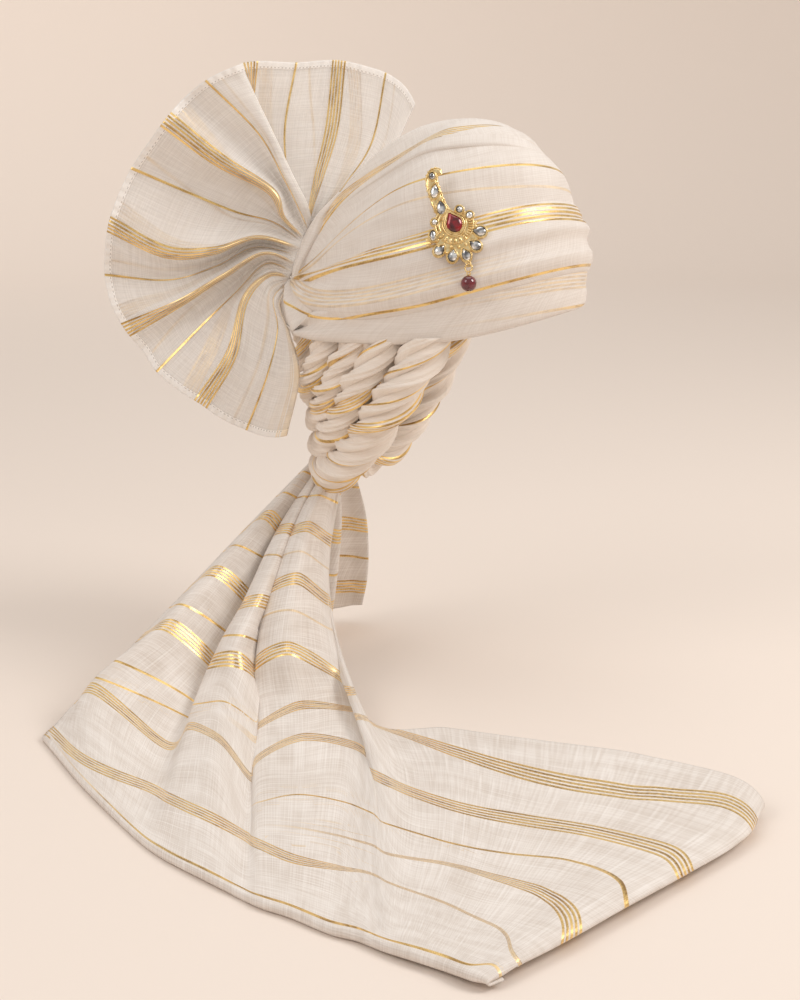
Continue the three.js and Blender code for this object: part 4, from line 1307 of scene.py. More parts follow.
@dataclass
class NapeRopes:
    """The ropes of twisted cloth that hang one over the other below the rim."""

    cloth: Material
    form: CrownForm = field(default_factory=CrownForm)
    strands: int = 5
    lay_length: float = 104.0
    top: float = -6.0
    half_width: float = 80.0
    half_depth: float = 101.0
    drawn_width: float = 14.0
    drawn_depth: float = 17.0
    drawn_over: tuple[float, float] = (20.0, 115.0)
    hang_power: float = 3.3
    reach: float = 1.1
    step: float = 0.54
    pleat: float = 0.75
    columns: int = 90
    rows: int = 200
    rim_gap: float = 1.0
    ropes: tuple[Rope, ...] = (
        Rope(-113.0, 113.0, 72.0, 15.0, 0.1, rope_stripes(single=(0.27, 0.95), group=(0.52,))),
        Rope(-93.5, 95.0, 57.0, 12.8, 0.55, rope_stripes(single=(0.29,), group=(0.86,))),
        Rope(-75.6, 82.0, 43.0, 11.8, 0.3, rope_stripes(single=(0.62, 0.94), group=(0.2,))),
        Rope(-57.6, 65.0, 31.0, 12.0, 0.8, rope_stripes(single=(0.3,), group=(0.53,))),
        Rope(-39.0, 41.0, 17.0, 11.6, 0.0, rope_stripes(single=(0.28, 0.61), group=(0.87,))),
    )

    def build(self) -> None:
        """Builds the ropes."""
        rim = Vector((0.0, self.form.rim_tilt, 1.0)).normalized()
        for count, rope in enumerate(self.ropes, 1):
            piece = cloth_grid(
                f"twisted_rope_{count}", self.columns, self.rows,
                lambda u, v, rope=rope, count=count: self.lay_rope(rope, count, u, v),
            )
            close_tube(piece, -rim * self.rim_gap * MM, rim)
            dress(piece, self.cloth, (f"nape_rope_{count}",))

    def path(self, rope: Rope, share: Array) -> Array:
        """A rope's middle line.

        Args:
            rope: The rope.
            share: Places from -1 at its right end to 1 at its left.

        Returns:
            Points in millimetres.
        """
        height = lerp(rope.low, self.top, np.abs(share) ** self.hang_power)
        drawn = smoothstep(*self.drawn_over, -height)
        bearing = np.radians(np.where(share < 0, rope.right, rope.left)) * share
        wide = self.half_width - self.drawn_width * drawn
        deep = self.half_depth - self.drawn_depth * drawn
        return np.stack([wide * np.sin(bearing), deep * np.cos(bearing), height], -1)

    def lay_rope(self, rope: Rope, count: int, around: Array, along: Array) -> Laid:
        """Lays a rope so that the grid follows its twist.

        Args:
            rope: The rope.
            count: Its number.
            around: Shares across its strands.
            along: Shares along it.

        Returns:
            The laid cloth.
        """
        middle = self.path(rope, lerp(-self.reach, self.reach, along[0]))
        side = unit(np.cross(np.gradient(middle, axis=0), UP))
        run = np.concatenate([[0.0], np.cumsum(np.linalg.norm(np.diff(middle, axis=0), axis=1))])
        turn = math.tau * (around - run[None] / self.lay_length + rope.turned)
        chance = np.random.default_rng(60 + count)
        widths = chance.uniform(0.75, 1.25, self.strands)
        bounds = np.concatenate([[0.0], np.cumsum(widths) / widths.sum()])
        number = np.clip(np.searchsorted(bounds, around[:, 0], side="right") - 1, 0, self.strands - 1)
        place = ((around[:, 0] - bounds[number]) / (bounds[number + 1] - bounds[number]))[:, None]
        height = chance.uniform(0.7, 1.0, self.strands)[number][:, None]
        shell = np.sin(np.pi * np.clip(place, 0.0, 1.0) ** 1.5) ** 0.62 * height
        shell = shell * (0.8 + 0.2 * np.sin(math.tau * (5.0 * along + number[:, None] * 0.37)))
        creases = Creases(30 + count, 40, 0.6, 0.04, 0.06, 0.5).rise(along, around)
        seam = smoothstep(0.0, 0.04, around * (1 - around))
        wander = 0.25 * np.sin(math.tau * (3.0 * along + number[:, None] * 0.21))
        pleats = self.pleat * np.sin(math.tau * (3.0 * place + wander)) * np.sin(np.pi * place)
        radius = rope.radius * (0.90 + self.step * (shell - 0.55)) + (creases + pleats) * seam
        radius = np.where((around <= 0.0) | (around >= 1.0), rope.radius * (0.90 - 0.55 * self.step), radius)
        points = tube_points(middle, side, turn, radius)
        pace = np.full_like(around, math.tau * rope.radius * 0.8)
        across, gilt = rope.stripes.lay(along[0], around.T.copy(), pace.T.copy())
        weave = np.stack([arc_lengths(points, 1) * MM, across.T], -1)
        return Laid(points, weave, gilt.T, thread_chart(points))


@dataclass
class Tail:
    """The long tail that falls from the nape and lies spread on the table.

    Each row of folds is one fold line from the nape or far edge to the near hem. Each of its stations is
    the place's x and y in the view's picture of 800 by 1000 pixels, and its height above the table in
    millimetres. The stripes' tracks are in the same picture y. The fall's stations are millimetres.
    """

    cloth: Material
    columns: int = 300
    rows: int = 156
    wall: float = 0.9
    floor: float = -250.2
    turned: float = 0.05
    turn_radius: float = 2.4
    turn_back: float = 9.0
    turn_share: float = 0.6
    hem_crowding: float = 0.35
    hem_lift: float = 1.4
    hem_pixels: float = 8.0
    fall_columns: int = 64
    fall_rows: int = 52
    table: float = -251.2
    sight: Sight = Sight()
    folds: tuple[tuple[Triple, ...], ...] = (
        ((326, 446, 149), (250, 524, 105), (189, 588, 72), (138, 640, 46), (78, 700, 17), (46, 736, 3)),
        ((329, 447, 150), (268, 516, 112), (219, 569, 86), (168, 628, 56), (96, 690, 25), (83, 781, 3)),
        ((331, 449, 149), (293, 532, 97), (257, 602, 60), (219, 668, 27), (170, 740, 4), (132, 831, 2)),
        ((332, 450, 148), (281, 527, 104), (246, 600, 68), (218, 650, 43), (192, 716, 15), (163, 853, 3)),
        ((333, 450, 149), (293, 522, 110), (262, 596, 74), (240, 650, 47), (222, 716, 19), (205, 874, 4)),
        ((336, 452, 148), (303, 530, 99), (281, 604, 60), (263, 668, 27), (251, 775, 2), (240, 893, 3)),
        ((338, 452, 149), (297, 514, 112), (267, 597, 70), (256, 658, 39), (257, 735, 8), (262, 902, 4)),
        ((341, 452, 149), (310, 518, 114), (296, 590, 78), (291, 650, 48), (301, 728, 13), (290, 911, 4)),
        ((346, 455, 147), (330, 530, 98), (326, 600, 62), (336, 665, 30), (352, 726, 9), (329, 927, 4)),
        ((329, 585, 62), (330, 620, 47), (338, 668, 27), (356, 712, 11), (372, 790, 7), (357, 934, 4.5)),
        ((366, 716, 10), (385, 745, 8.5), (392, 785, 7.5), (392, 830, 7), (388, 885, 7), (383, 944, 5)),
        ((450, 728, 14), (455, 765, 10), (455, 805, 8), (450, 855, 8), (432, 905, 8), (412, 953, 6)),
        ((540, 742, 17), (535, 785, 11), (520, 825, 9), (500, 870, 9), (472, 920, 9), (443, 963, 6)),
        ((640, 757, 18), (620, 797, 12), (592, 838, 10), (555, 880, 10), (512, 928, 10), (466, 971, 7)),
        ((735, 779, 17), (708, 820, 14), (660, 857, 13), (600, 892, 13), (540, 934, 12), (480, 976, 7)),
        ((764, 806, 8), (744, 838, 7), (692, 870, 7), (626, 907, 7), (556, 946, 7), (488, 981, 5)),
        ((728, 812, 1), (705, 842, 1), (660, 872, 1), (600, 905, 1), (535, 945, 1), (474, 972, 1)),
    )
    stripes: StripeSet = StripeSet((
        Stripe(StripeKind.SINGLE, (474, 473, 478, 476, 475, 480, 477, 476, 480, 490) + (500,) * 7),
        Stripe(StripeKind.SINGLE, (497, 494, 504, 500, 497, 504, 498, 495, 502, 510) + (560,) * 7),
        Stripe(StripeKind.GROUP, (531, 516, 541, 533, 529, 540, 534, 526, 540, 548) + (600,) * 7),
        Stripe(StripeKind.SINGLE, (552, 547, 566, 558, 556, 566, 558, 551, 568, 574) + (620,) * 7,
               (1., 1., 1., .8, .8, .5, .4, .4, .4) + (0.,) * 8),
        Stripe(StripeKind.GROUP, (589, 572, 606, 606, 601, 606, 590, 578, 599, 602) + (640,) * 7),
        Stripe(StripeKind.SINGLE, (608, 607, 640, 638, 637, 645, 619, 610, 629, 630) + (660,) * 7,
               (1.,) * 5 + (.8, .5, .5, .4, .2) + (0.,) * 7),
        Stripe(StripeKind.GROUP, (638, 626, 668, 663, 660, 680, 662, 648, 677, 690) + (690,) * 7),
        Stripe(StripeKind.SINGLE, (667, 663, 702, 705, 704, 722, 690, 675, 696, 700) + (700,) * 7,
               (1.,) * 5 + (.6,) + (0.,) * 11),
        Stripe(StripeKind.SINGLE, (681, 680, 716, 714, 712, 734, 700, 690, 704, 706) + (706,) * 7,
               (1.,) * 3 + (.3,) + (0.,) * 13),
        Stripe(StripeKind.GROUP, (690, 684, 730, 716, 718, 740, 726, 706, 710, 716,
                                  722, 751, 778, 792, 802, 826, 824),
               (0.,) * 5 + (.6,) + (1.,) * 11,
               (.5,) * 5 + (.7, .8, .9, .7, .7, .8, 1.5, 1.7, 1.6, 1.5, 1.3, 1.)),
        Stripe(StripeKind.GROUP, (699, 690, 746, 727, 741, 778, 758, 738, 745, 761,
                                  785, 807, 821, 833, 852, 874, 862),
               (1.0, 1.0), (1.,) * 8 + (1.1, 1.2, 1.4, 1.4, 1.4, 1.4, 1.5, 1.4, 1.2)),
        Stripe(StripeKind.SINGLE, (712, 705, 760, 768, 778, 806, 802, 795, 803, 815,
                                   827, 844, 854, 862, 881, 907, 892),
               (0.,) * 6 + (.5,) + (1.,) * 10,
               (1.,) * 9 + (1.2, 1.2, 1.2, 1.2, 1.3, 1.8, 2.2, 2.)),
        Stripe(StripeKind.GROUP, (722, 715, 770, 780, 792, 820, 824, 828, 837, 846,
                                  856, 865, 878, 894, 914, 938, 926),
               (0.,) * 7 + (.4, .9) + (1.,) * 8,
               (.2,) * 8 + (.22, .25, .3, .4, .7, 1.1, 1.4, 1.5, 1.4)),
        Stripe(StripeKind.GROUP, (732, 761, 788, 801, 819, 837, 845, 860, 869, 874,
                                  884, 900, 919, 936, 954, 965, 955),
               (1.0, 1.0), (.9, 1.2, 1.3, 1.3, 1.3, 1.3, 1.3, 1.1, .6, .3) + (.22,) * 7),
        Stripe(StripeKind.SINGLE, (733, 778, 829, 851, 872, 890, 899, 908, 924, 931,
                                   941, 950, 960, 968, 968, 977, 974),
               (0., .4) + (1.,) * 12 + (.8, .6, 0.)),
    ))
    fall: tuple[tuple[Triple, ...], ...] = (
        ((-20, 90, -116), (-44, 92, -165), (-56, 97, -215), (-60, 104, -247)),
        ((-12, 95, -116), (-20, 100, -160), (-26, 110, -210), (-24, 120, -247)),
        ((-4, 88, -116), (-4, 85, -160), (-4, 91, -210), (2, 102, -246)),
        ((5, 95, -116), (11, 99, -160), (14, 108, -205), (19, 117, -242)),
        ((13, 87, -116), (25, 82, -160), (33, 86, -205), (36, 94, -237)),
    )
    fall_stripes: StripeSet = StripeSet((
        Stripe(StripeKind.SINGLE, (0.16, 0.15, 0.17, 0.15, 0.16)),
        Stripe(StripeKind.GROUP, (0.40, 0.38, 0.41, 0.38, 0.40)),
        Stripe(StripeKind.SINGLE, (0.60, 0.58, 0.61, 0.58, 0.60)),
        Stripe(StripeKind.GROUP, (0.83, 0.81, 0.84, 0.81, 0.83)),
    ))

    def build(self) -> None:
        """Builds the tail and the short fall of cloth behind it."""
        piece = cloth_grid("tail_cloth", self.columns, self.rows, self.lay_tail)
        thicken(piece, self.wall)
        dress(piece, self.cloth, ("tail",))
        piece = cloth_grid("tail_fall", self.fall_columns, self.fall_rows, self.lay_fall)
        thicken(piece, self.wall)
        dress(piece, self.cloth, ("tail",))

    def lay_tail(self, along: Array, across: Array) -> Laid:
        """Lays the tail over its folds, with its near hem turned under.

        Args:
            along: Shares from its left edge to its tucked end.
            across: Shares from the nape or far edge to the near hem.

        Returns:
            The laid cloth.
        """
        shown = int(np.sum(across[0] <= 1.0 - self.turned))
        run = across[:, :shown] / across[0, shown - 1]
        run = run * (1.0 + self.hem_crowding * (1.0 - run))
        broad = along[:, :shown]
        lines = row_value(np.array(self.folds, float), along[:, 0])
        spots = np.stack([row_value(line, run[0]) for line in lines])
        top = self.sight.meet(spots + np.array([0.0, 0.0, self.table]))
        outward = grid_normals(top)
        outward *= np.sign(outward[..., 2:3] + 1e-9)
        loose = smoothstep(1.5, 14.0, top[..., 2] - self.floor)
        drape = Creases(41, 34, 1.3, 0.030, 0.30, 0.06).rise(run, broad)
        fine = Creases(42, 90, 0.35, 0.010, 0.14, 0.10).rise(run, broad)
        waves = Creases(43, 26, 2.6, 0.05, 0.16, 0.5).rise(run, broad)
        lift = (drape + fine) * (0.3 + 0.7 * loose) + np.maximum(waves, -0.8) * smoothstep(0.5, 0.65, broad)
        lift = lift * smoothstep(0.0, 0.04, 1.0 - run) + self.hem_lift * bell(run, 1.0, 0.05)
        top = top + outward * lift[..., None]
        curl = np.arange(1, across.shape[1] - shown + 1) / (across.shape[1] - shown)
        points = np.concatenate([top, self.turn_under(top, curl, along[:, 0])], axis=1)
        points[..., 2] = np.maximum(points[..., 2], self.floor)
        tracks = np.concatenate([spots[..., 1], spots[:, -1:, 1] + self.hem_pixels * curl[None]], axis=1)
        pace = np.gradient(arc_lengths(points, 1), axis=1) / np.gradient(tracks, axis=1)
        weave_across, gilt = self.stripes.lay(along[:, 0], tracks, pace)
        threads = self.thread_places(points)
        weave = np.stack([threads[..., 0], weave_across], -1)
        return Laid(points, weave, gilt, threads)

    def thread_places(self, points: Array) -> Array:
        """Places on the weave, whose threads follow the sheet's grid.

        Args:
            points: The sheet's points.

        Returns:
            The places along and down the sheet in metres.
        """
        steps = np.linalg.norm(np.diff(points, axis=0), axis=-1)
        along = np.cumsum(steps[:, points.shape[1] // 2:].mean(axis=1))
        down = np.cumsum(np.linalg.norm(np.diff(points, axis=1), axis=-1).mean(axis=0))
        places = np.meshgrid(np.append(0.0, along), np.append(0.0, down), indexing="ij")
        return np.stack(places, -1) * MM

    def turn_under(self, top: Array, curl: Array, share: Array) -> Array:
        """The hem turned under the near edge.

        Args:
            top: The sheet's points as far as the edge.
            curl: Shares round the turn and back below it.
            share: Each column's share along the sheet.

        Returns:
            The turned points.
        """
        radius = self.turn_radius * lerp(0.3, 1.0, smoothstep(0.96, 0.84, share))[:, None]
        edge = top[:, -1]
        out = unit((edge - top[:, -6]) * np.array([1.0, 1.0, 0.0]))
        angle = np.pi * np.minimum(curl / self.turn_share, 1.0)
        below = np.maximum(curl - self.turn_share, 0.0) / (1.0 - self.turn_share)
        forward = radius * np.sin(angle) - self.turn_back * below
        down = radius * (1.0 - np.cos(angle))
        return edge[:, None] + out[:, None] * forward[..., None] - UP * down[..., None]

    def lay_fall(self, along: Array, across: Array) -> Laid:
        """Lays the short fall that hangs straight down behind the tail.

        Args:
            along: Shares across its width.
            across: Shares from the nape to the table.

        Returns:
            The laid cloth.
        """
        lines = row_value(np.array(self.fall, float), along[:, 0])
        points = np.stack([row_value(line, across[0]) for line in lines])
        lift = Creases(44, 24, 1.6, 0.06, 0.4, 0.1).rise(across, along)
        points = points + grid_normals(points) * lift[..., None]
        points[..., 2] = np.maximum(points[..., 2], self.floor)
        pace = np.gradient(arc_lengths(points, 1), axis=1) / np.gradient(across, axis=1)
        weave_across, gilt = self.fall_stripes.lay(along[:, 0], across, pace)
        weave = np.stack([arc_lengths(points, 0) * MM, weave_across], -1)
        return Laid(points, weave, gilt, thread_chart(points))


@dataclass(frozen=True)
class Stone:
    """One stone of the brooch: its place, half sizes, point and turn."""

    node: str
    x: float
    y: float
    half_width: float
    half_length: float
    pointed: float
    turn: float

    def outline(self, angle: Array, grow: Array | float) -> tuple[Array, Array]:
        """The stone's outline in the brooch's plane.

        Args:
            angle: Angles about its middle in radians.
            grow: How far outside the stone, in millimetres.

        Returns:
            The outline's two coordinates.
        """
        up = np.maximum(np.sin(angle), 0.0)
        wide = (self.half_width + grow) * (1.0 - self.pointed * up**1.5) * np.cos(angle)
        long = (self.half_length + grow) * (1.0 + 0.3 * self.pointed * up**4) * np.sin(angle)
        swing = math.radians(self.turn)
        return (
            self.x + wide * math.cos(swing) - long * math.sin(swing),
            self.y + wide * math.sin(swing) + long * math.cos(swing),
        )


@dataclass
class Brooch:
    """The jewelled brooch with its stones, its drop and the bead, in millimetres on its own face.

    A crescent is its reach, its first and last turn and its wire's radius. A row of leaves is its middle
    and height, its reach, its first turn, last turn and step, and a leaf's half sizes. A side leaf is its
    place and its turn. A ring's turns are how far each jump ring stands out and its turn in radians.
    """

    gold: Material
    clear: Material
    red: Material
    bead: Material
    seat: Triple = (9.0, 78.0, 90.8)
    facing: float = -55.0
    lean: float = 19.0
    stones: tuple[Stone, ...] = (
        Stone("red_stone", 0.0, 0.0, 5.4, 6.4, 0.6, 27.0),
        Stone("stem_stone_1", -8.5, 9.9, 3.0, 4.5, 0.35, 8.0),
        Stone("stem_stone_2", -12.8, 21.1, 2.8, 4.5, 0.35, -6.0),
        Stone("stem_stone_3", -14.4, 31.7, 2.1, 2.4, 0.0, 0.0),
        Stone("rim_stone_1", 3.7, 9.2, 2.2, 2.2, 0.0, 0.0),
        Stone("rim_stone_2", 10.2, 5.3, 2.3, 2.5, 0.0, -40.0),
        Stone("rim_stone_3", 17.2, -5.6, 3.4, 4.2, 0.5, 84.0),
        Stone("rim_stone_4", 14.2, -15.0, 3.3, 4.0, 0.5, 58.0),
        Stone("rim_stone_5", 8.0, -21.6, 3.0, 4.0, 0.5, 24.0),
        Stone("rim_stone_6", -0.9, -22.2, 3.2, 3.9, 0.5, -10.0),
        Stone("rim_stone_7", -9.6, -18.4, 3.2, 3.9, 0.5, -46.0),
        Stone("rim_stone_8", -13.8, -8.6, 2.2, 3.6, 0.0, 0.0),
        Stone("rim_stone_9", -12.6, 0.6, 2.0, 2.1, 0.0, 0.0),
    )
    rosette: tuple[float, float] = (1.9, -7.5)
    rosette_radius: float = 14.6
    crescents: tuple[tuple[float, ...], ...] = (
        (10.2, 118.0, 208.0, 1.0), (12.4, 132.0, 214.0, 0.7), (12.9, -128.0, 18.0, 0.55),
    )
    leaf_rows: tuple[tuple[Triple, float, Triple, Triple], ...] = (
        ((0.0, -0.8, 2.4), 11.0, (-40.0, 36.0, 9.0), (1.6, 0.58, 0.85)),
        ((0.0, -0.8, 2.3), 11.3, (-152.0, -44.0, 17.0), (2.3, 1.05, 1.0)),
        ((0.0, -1.0, 2.0), 15.2, (-135.0, -40.0, 19.0), (1.5, 0.9, 0.8)),
    )
    border_reach: float = 14.2
    big_shoulder: float = 1.9
    small_shoulder: float = 1.25
    stem_half_width: float = 4.4
    stem_taper: float = 0.62
    wire_radius: float = 0.5
    grains: tuple[tuple[float, float], ...] = (
        (-4.4, 11.4), (-3.4, 9.4), (-2.0, 8.4), (-6.0, 14.2), (-7.6, 17.4), (6.8, 7.4), (12.6, 1.4),
    )
    side_leaves: tuple[Triple, ...] = ((-16.6, -14.4, 200.0), (-16.8, -11.6, 170.0), (13.8, 0.2, 40.0))
    stem: tuple[tuple[float, float], ...] = (
        (-4.0, 4.0), (-8.5, 9.9), (-12.8, 21.1), (-14.7, 29.0), (-13.6, 33.6), (-10.6, 34.8), (-7.6, 33.0),
    )
    eye: Triple = (9.6, -27.6, 2.6)
    eye_radius: float = 1.5
    pin_loop: float = 1.1
    bar_turn: float = 22.0
    bar_ends: tuple[float, float] = (-17.0, 8.0)
    bar_behind: float = 0.95
    bar_radius: float = 0.6
    ring_radius: float = 2.6
    ring_wire: float = 0.45
    ring_turns: tuple[tuple[float, float], ...] = ((0.0, 0.9), (0.75, 1.2))
    pin_wire: float = 0.4
    facet_bevel: float = 0.18
    bead_radius: float = 5.3
    bead_y: float = -40.6

    def place(self) -> Matrix:
        """The brooch's place: right, up along its face and out, in metres."""
        turn, lean = math.radians(self.facing), math.radians(self.lean)
        right = Vector((math.cos(turn), math.sin(turn), 0.0))
        front = Vector((math.sin(turn), -math.cos(turn), 0.0))
        top = Vector((0.0, 0.0, 1.0))
        rise = top * math.cos(lean) - front * math.sin(lean)
        face = front * math.cos(lean) + top * math.sin(lean)
        seat = (right * self.seat[0] + top * self.seat[1] + front * self.seat[2]) * MM
        rows = Matrix((right, rise, face)).transposed().to_4x4()
        return Matrix.Translation(seat) @ rows @ Matrix.Scale(MM, 4)

    def build(self) -> None:
        """Builds the setting, the stones and the drop."""
        self.build_setting()
        for stone in self.stones:
            self.build_stone(stone)
        self.build_drop()

    def finish_piece(
        self, body: Body, name: str, finish: Material, nodes: tuple[str, ...], smooth: bool,
    ) -> Piece:
        """Puts a body in the brooch's place and dresses it.

        Args:
            body: The body in the brooch's own millimetres, which is freed.
            name: The piece's name.
            finish: Its material.
            nodes: The solids that it stands for.
            smooth: Whether its faces shade smoothly.

        Returns:
            The piece.
        """
        bmesh.ops.remove_doubles(body, verts=body.verts, dist=0.002)
        bmesh.ops.recalc_face_normals(body, faces=body.faces)
        bmesh.ops.transform(body, matrix=self.place(), verts=body.verts)
        for face in body.faces:
            face.smooth = smooth
        mesh = bpy.data.meshes.new(name)
        body.to_mesh(mesh)
        body.free()
        piece = link(name, mesh)
        dress(piece, finish, nodes)
        return piece

    def sweep_ring(
        self, body: Body, sides: int, section: tuple[tuple[float, float], ...],
        outline: Callable[[Array, Array], tuple[Array, Array]],
    ) -> None:
        """Sweeps a section round an outline.

        Args:
            body: The body that it joins.
            sides: Faces round the outline.
            section: Rows of how far outside the outline, and the height.
            outline: Gives the outline's coordinates for angles and growths.
        """
        made = bmesh.ops.create_grid(body, x_segments=sides, y_segments=len(section) - 1, size=0.5)
        rows = np.array(section)
        for vertex in made["verts"]:
            row = round((vertex.co.y + 0.5) * (len(section) - 1))
            angle = (vertex.co.x + 0.5) * math.tau
            x, y = outline(np.array([angle]), rows[row, 0])
            vertex.co = (float(x[0]), float(y[0]), float(rows[row, 1]))

    def granule(self, body: Body, place: Triple | Array, size: Triple, turn: float = 0.0) -> None:
        """Adds a small solder grain or leaf.

        Args:
            body: The body that it joins.
            place: Its middle.
            size: Its half sizes.
            turn: How far it is turned in the brooch's plane, in degrees.
        """
        matrix = (
            Matrix.Translation(place) @ Matrix.Rotation(math.radians(turn), 4, "Z")
            @ Matrix.Diagonal((*size, 1.0))
        )
        bmesh.ops.create_uvsphere(body, u_segments=10, v_segments=6, radius=1.0, matrix=matrix)

    def wire(self, body: Body, path: Array, radius: float, sides: int = 8) -> None:
        """Adds a wire along a path.

        Args:
            body: The body that it joins.
            path: Points of its middle line.
            radius: Its radius.
            sides: Faces round it.
        """
        made = bmesh.ops.create_grid(body, x_segments=sides, y_segments=len(path) - 1, size=0.5)
        tangent = unit(np.gradient(path, axis=0))
        side = unit(np.cross(tangent, UP) + np.array([1e-6, 0.0, 0.0]))
        lift = np.cross(side, tangent)
        for vertex in made["verts"]:
            row = round((vertex.co.y + 0.5) * (len(path) - 1))
            angle = (vertex.co.x + 0.5) * math.tau
            out = math.cos(angle) * side[row] + math.sin(angle) * lift[row]
            vertex.co = Vector(path[row] + radius * out)

    def arc(self, middle: Triple, radius: float, degrees: Array) -> Array:
        """Points of an arc that lies in the brooch's face.

        Args:
            middle: The arc's middle.
            radius: Its radius.
            degrees: The turn of each point.

        Returns:
            The points.
        """
        angle = np.radians(degrees)
        return np.array(middle) + radius * np.stack([np.cos(angle), np.sin(angle), np.zeros_like(angle)], -1)

    def build_setting(self) -> None:
        """Builds the plate, the collets, the grains, the leaves and the wires."""
        body = bmesh.new()
        self.add_plate(body)
        self.add_stem(body)
        for stone in self.stones:
            shoulder = self.big_shoulder if stone.node == "red_stone" else self.small_shoulder
            self.sweep_ring(body, 40, (
                (shoulder, 0.6), (shoulder, 2.3), (shoulder - 0.2, 2.75), (0.75, 2.8), (0.7, 2.5),
                (0.62, 2.9), (0.45, 3.25), (0.25, 3.3), (0.08, 3.1), (0.08, 1.4),
            ), stone.outline)
        self.add_ornament(body)
        self.add_eye(body)
        self.finish_piece(body, "brooch_goldwork", self.gold, ("brooch_setting", "brooch_pin"), True)

    def add_plate(self, body: Body) -> None:
        """Adds the rosette's scalloped and domed plate.

        Args:
            body: The body that it joins.
        """
        def scallop(angle: Array, grow: Array | float) -> tuple[Array, Array]:
            """The plate's outline, with small scallops."""
            reach = np.maximum(self.rosette_radius + grow, 0.0) * (1.0 + 0.02 * np.cos(angle * 18.0))
            return self.rosette[0] + reach * np.cos(angle), self.rosette[1] + reach * np.sin(angle)

        self.sweep_ring(body, 108, (
            (-self.rosette_radius, 0.0), (0.0, 0.0), (0.3, 0.5), (0.3, 1.1), (-0.2, 1.6), (-1.4, 1.7),
            (-2.0, 1.4), (-4.0, 1.8), (-8.0, 2.1), (-self.rosette_radius, 2.2),
        ), scallop)

    def add_stem(self, body: Body) -> None:
        """Adds the curled stem with its bordered edges.

        Args:
            body: The body that it joins.
        """
        shares = np.linspace(0.0, 1.0, 60)
        line = row_value(np.array(self.stem), shares)
        width = self.stem_half_width * (1.0 - self.stem_taper * shares**1.5) + 0.2
        width[-8:] *= np.linspace(1.0, 0.25, 8)
        forward = unit(np.gradient(line, axis=0))
        left = np.stack([-forward[:, 1], forward[:, 0]], -1)
        section = (
            (-1.0, 0.0), (-1.0, 1.4), (-0.7, 2.0), (0.0, 2.3),
            (0.7, 2.0), (1.0, 1.4), (1.0, 0.0), (-1.0, 0.0),
        )
        made = bmesh.ops.create_grid(body, x_segments=len(section) - 1, y_segments=len(line) - 1, size=0.5)
        for vertex in made["verts"]:
            column = round((vertex.co.x + 0.5) * (len(section) - 1))
            row = round((vertex.co.y + 0.5) * (len(line) - 1))
            spot = line[row] + left[row] * width[row] * section[column][0]
            vertex.co = (spot[0], spot[1], section[column][1])
        for side in (-1.0, 1.0):
            edge = line + left * (width * 0.98 * side)[:, None]
            rope = np.concatenate([edge, np.full((len(edge), 1), 1.7)], -1)
            self.wire(body, rope[4:56], self.wire_radius)
            for row in range(6, 50, 4):
                grain = edge[row] + left[row] * side * 0.3
                self.granule(body, (grain[0], grain[1], 1.5), (0.75, 0.75, 0.75))

    def add_ornament(self, body: Body) -> None:
        """Adds the ribs, leaves, crescents and grains round the red stone.

        Args:
            body: The body that it joins.
        """
        collar = ((3.3, 1.6), (3.3, 2.5), (2.9, 2.95), (2.5, 2.95), (2.15, 2.5), (2.15, 1.6))
        self.sweep_ring(body, 48, collar, self.stones[0].outline)
        for reach, start, end, radius in self.crescents:
            self.wire(body, self.arc((0.0, -0.8, 2.3), reach, np.linspace(start, end, 40)), radius)
        for middle, reach, turns, size in self.leaf_rows:
            degrees = np.arange(*turns)
            for spot, turn in zip(self.arc(middle, reach, degrees), degrees):
                self.granule(body, spot, size, turn)
        for spot in self.arc((*self.rosette, 1.4), self.border_reach, np.arange(0.0, 360.0, 15.0)):
            self.granule(body, spot, (0.7, 0.7, 0.7))
        for x, y in self.grains:
            self.granule(body, (x, y, 1.6), (1.0, 1.0, 0.9))
        for x, y, turn in self.side_leaves:
            self.granule(body, (x, y, 1.4), (2.2, 0.9, 0.8), turn)

    def add_eye(self, body: Body) -> None:
        """Adds the eye below the rim and the bar of the pin behind.

        Args:
            body: The body that it joins.
        """
        self.wire(body, self.arc(self.eye, self.eye_radius, np.linspace(0.0, 360.0, 33)), self.wire_radius)
        self.granule(body, (self.eye[0] - 0.6, self.eye[1] + 2.2, 2.2), (1.0, 1.0, 0.9))
        bar = math.radians(self.bar_turn)
        ends = np.linspace(*self.bar_ends, 12)[:, None] * np.array([[math.sin(bar), math.cos(bar), 0.0]])
        self.wire(body, ends - UP * self.bar_behind, self.bar_radius)

    def build_stone(self, stone: Stone) -> None:
        """Builds one stone, domed when it is the big one and else cut with bevelled facets.

        Args:
            stone: The stone.
        """
        body = bmesh.new()
        big = stone.node == "red_stone"
        wide = stone.half_width
        self.sweep_ring(body, 44 if big else 12, (
            (CLOSED, 1.35), (0.0, 1.35), (0.0, 2.7), (-0.13 * wide, 3.4), (-0.42 * wide, 4.1),
            (-0.62 * wide, 4.3), (CLOSED, 4.35),
        ), lambda angle, grow: self.facet(stone, angle, grow))
        finish, slot = (self.red, "red_stone") if big else (self.clear, "clear_stone")
        piece = self.finish_piece(body, f"cut_{stone.node}", finish, (stone.node,), big)
        if not big:
            edges = piece.modifiers.new("edges", "BEVEL")
            edges.width = self.facet_bevel * MM
            edges.segments = 2

    def facet(self, stone: Stone, angle: Array, grow: Array | float) -> tuple[Array, Array]:
        """A stone's outline, drawn to its middle for the closing rows.

        Args:
            stone: The stone.
            angle: Angles about its middle.
            grow: How far outside the stone in millimetres, or CLOSED for its middle.

        Returns:
            The outline's two coordinates.
        """
        if grow <= CLOSED:
            return np.full_like(angle, stone.x), np.full_like(angle, stone.y)
        return stone.outline(angle, grow)

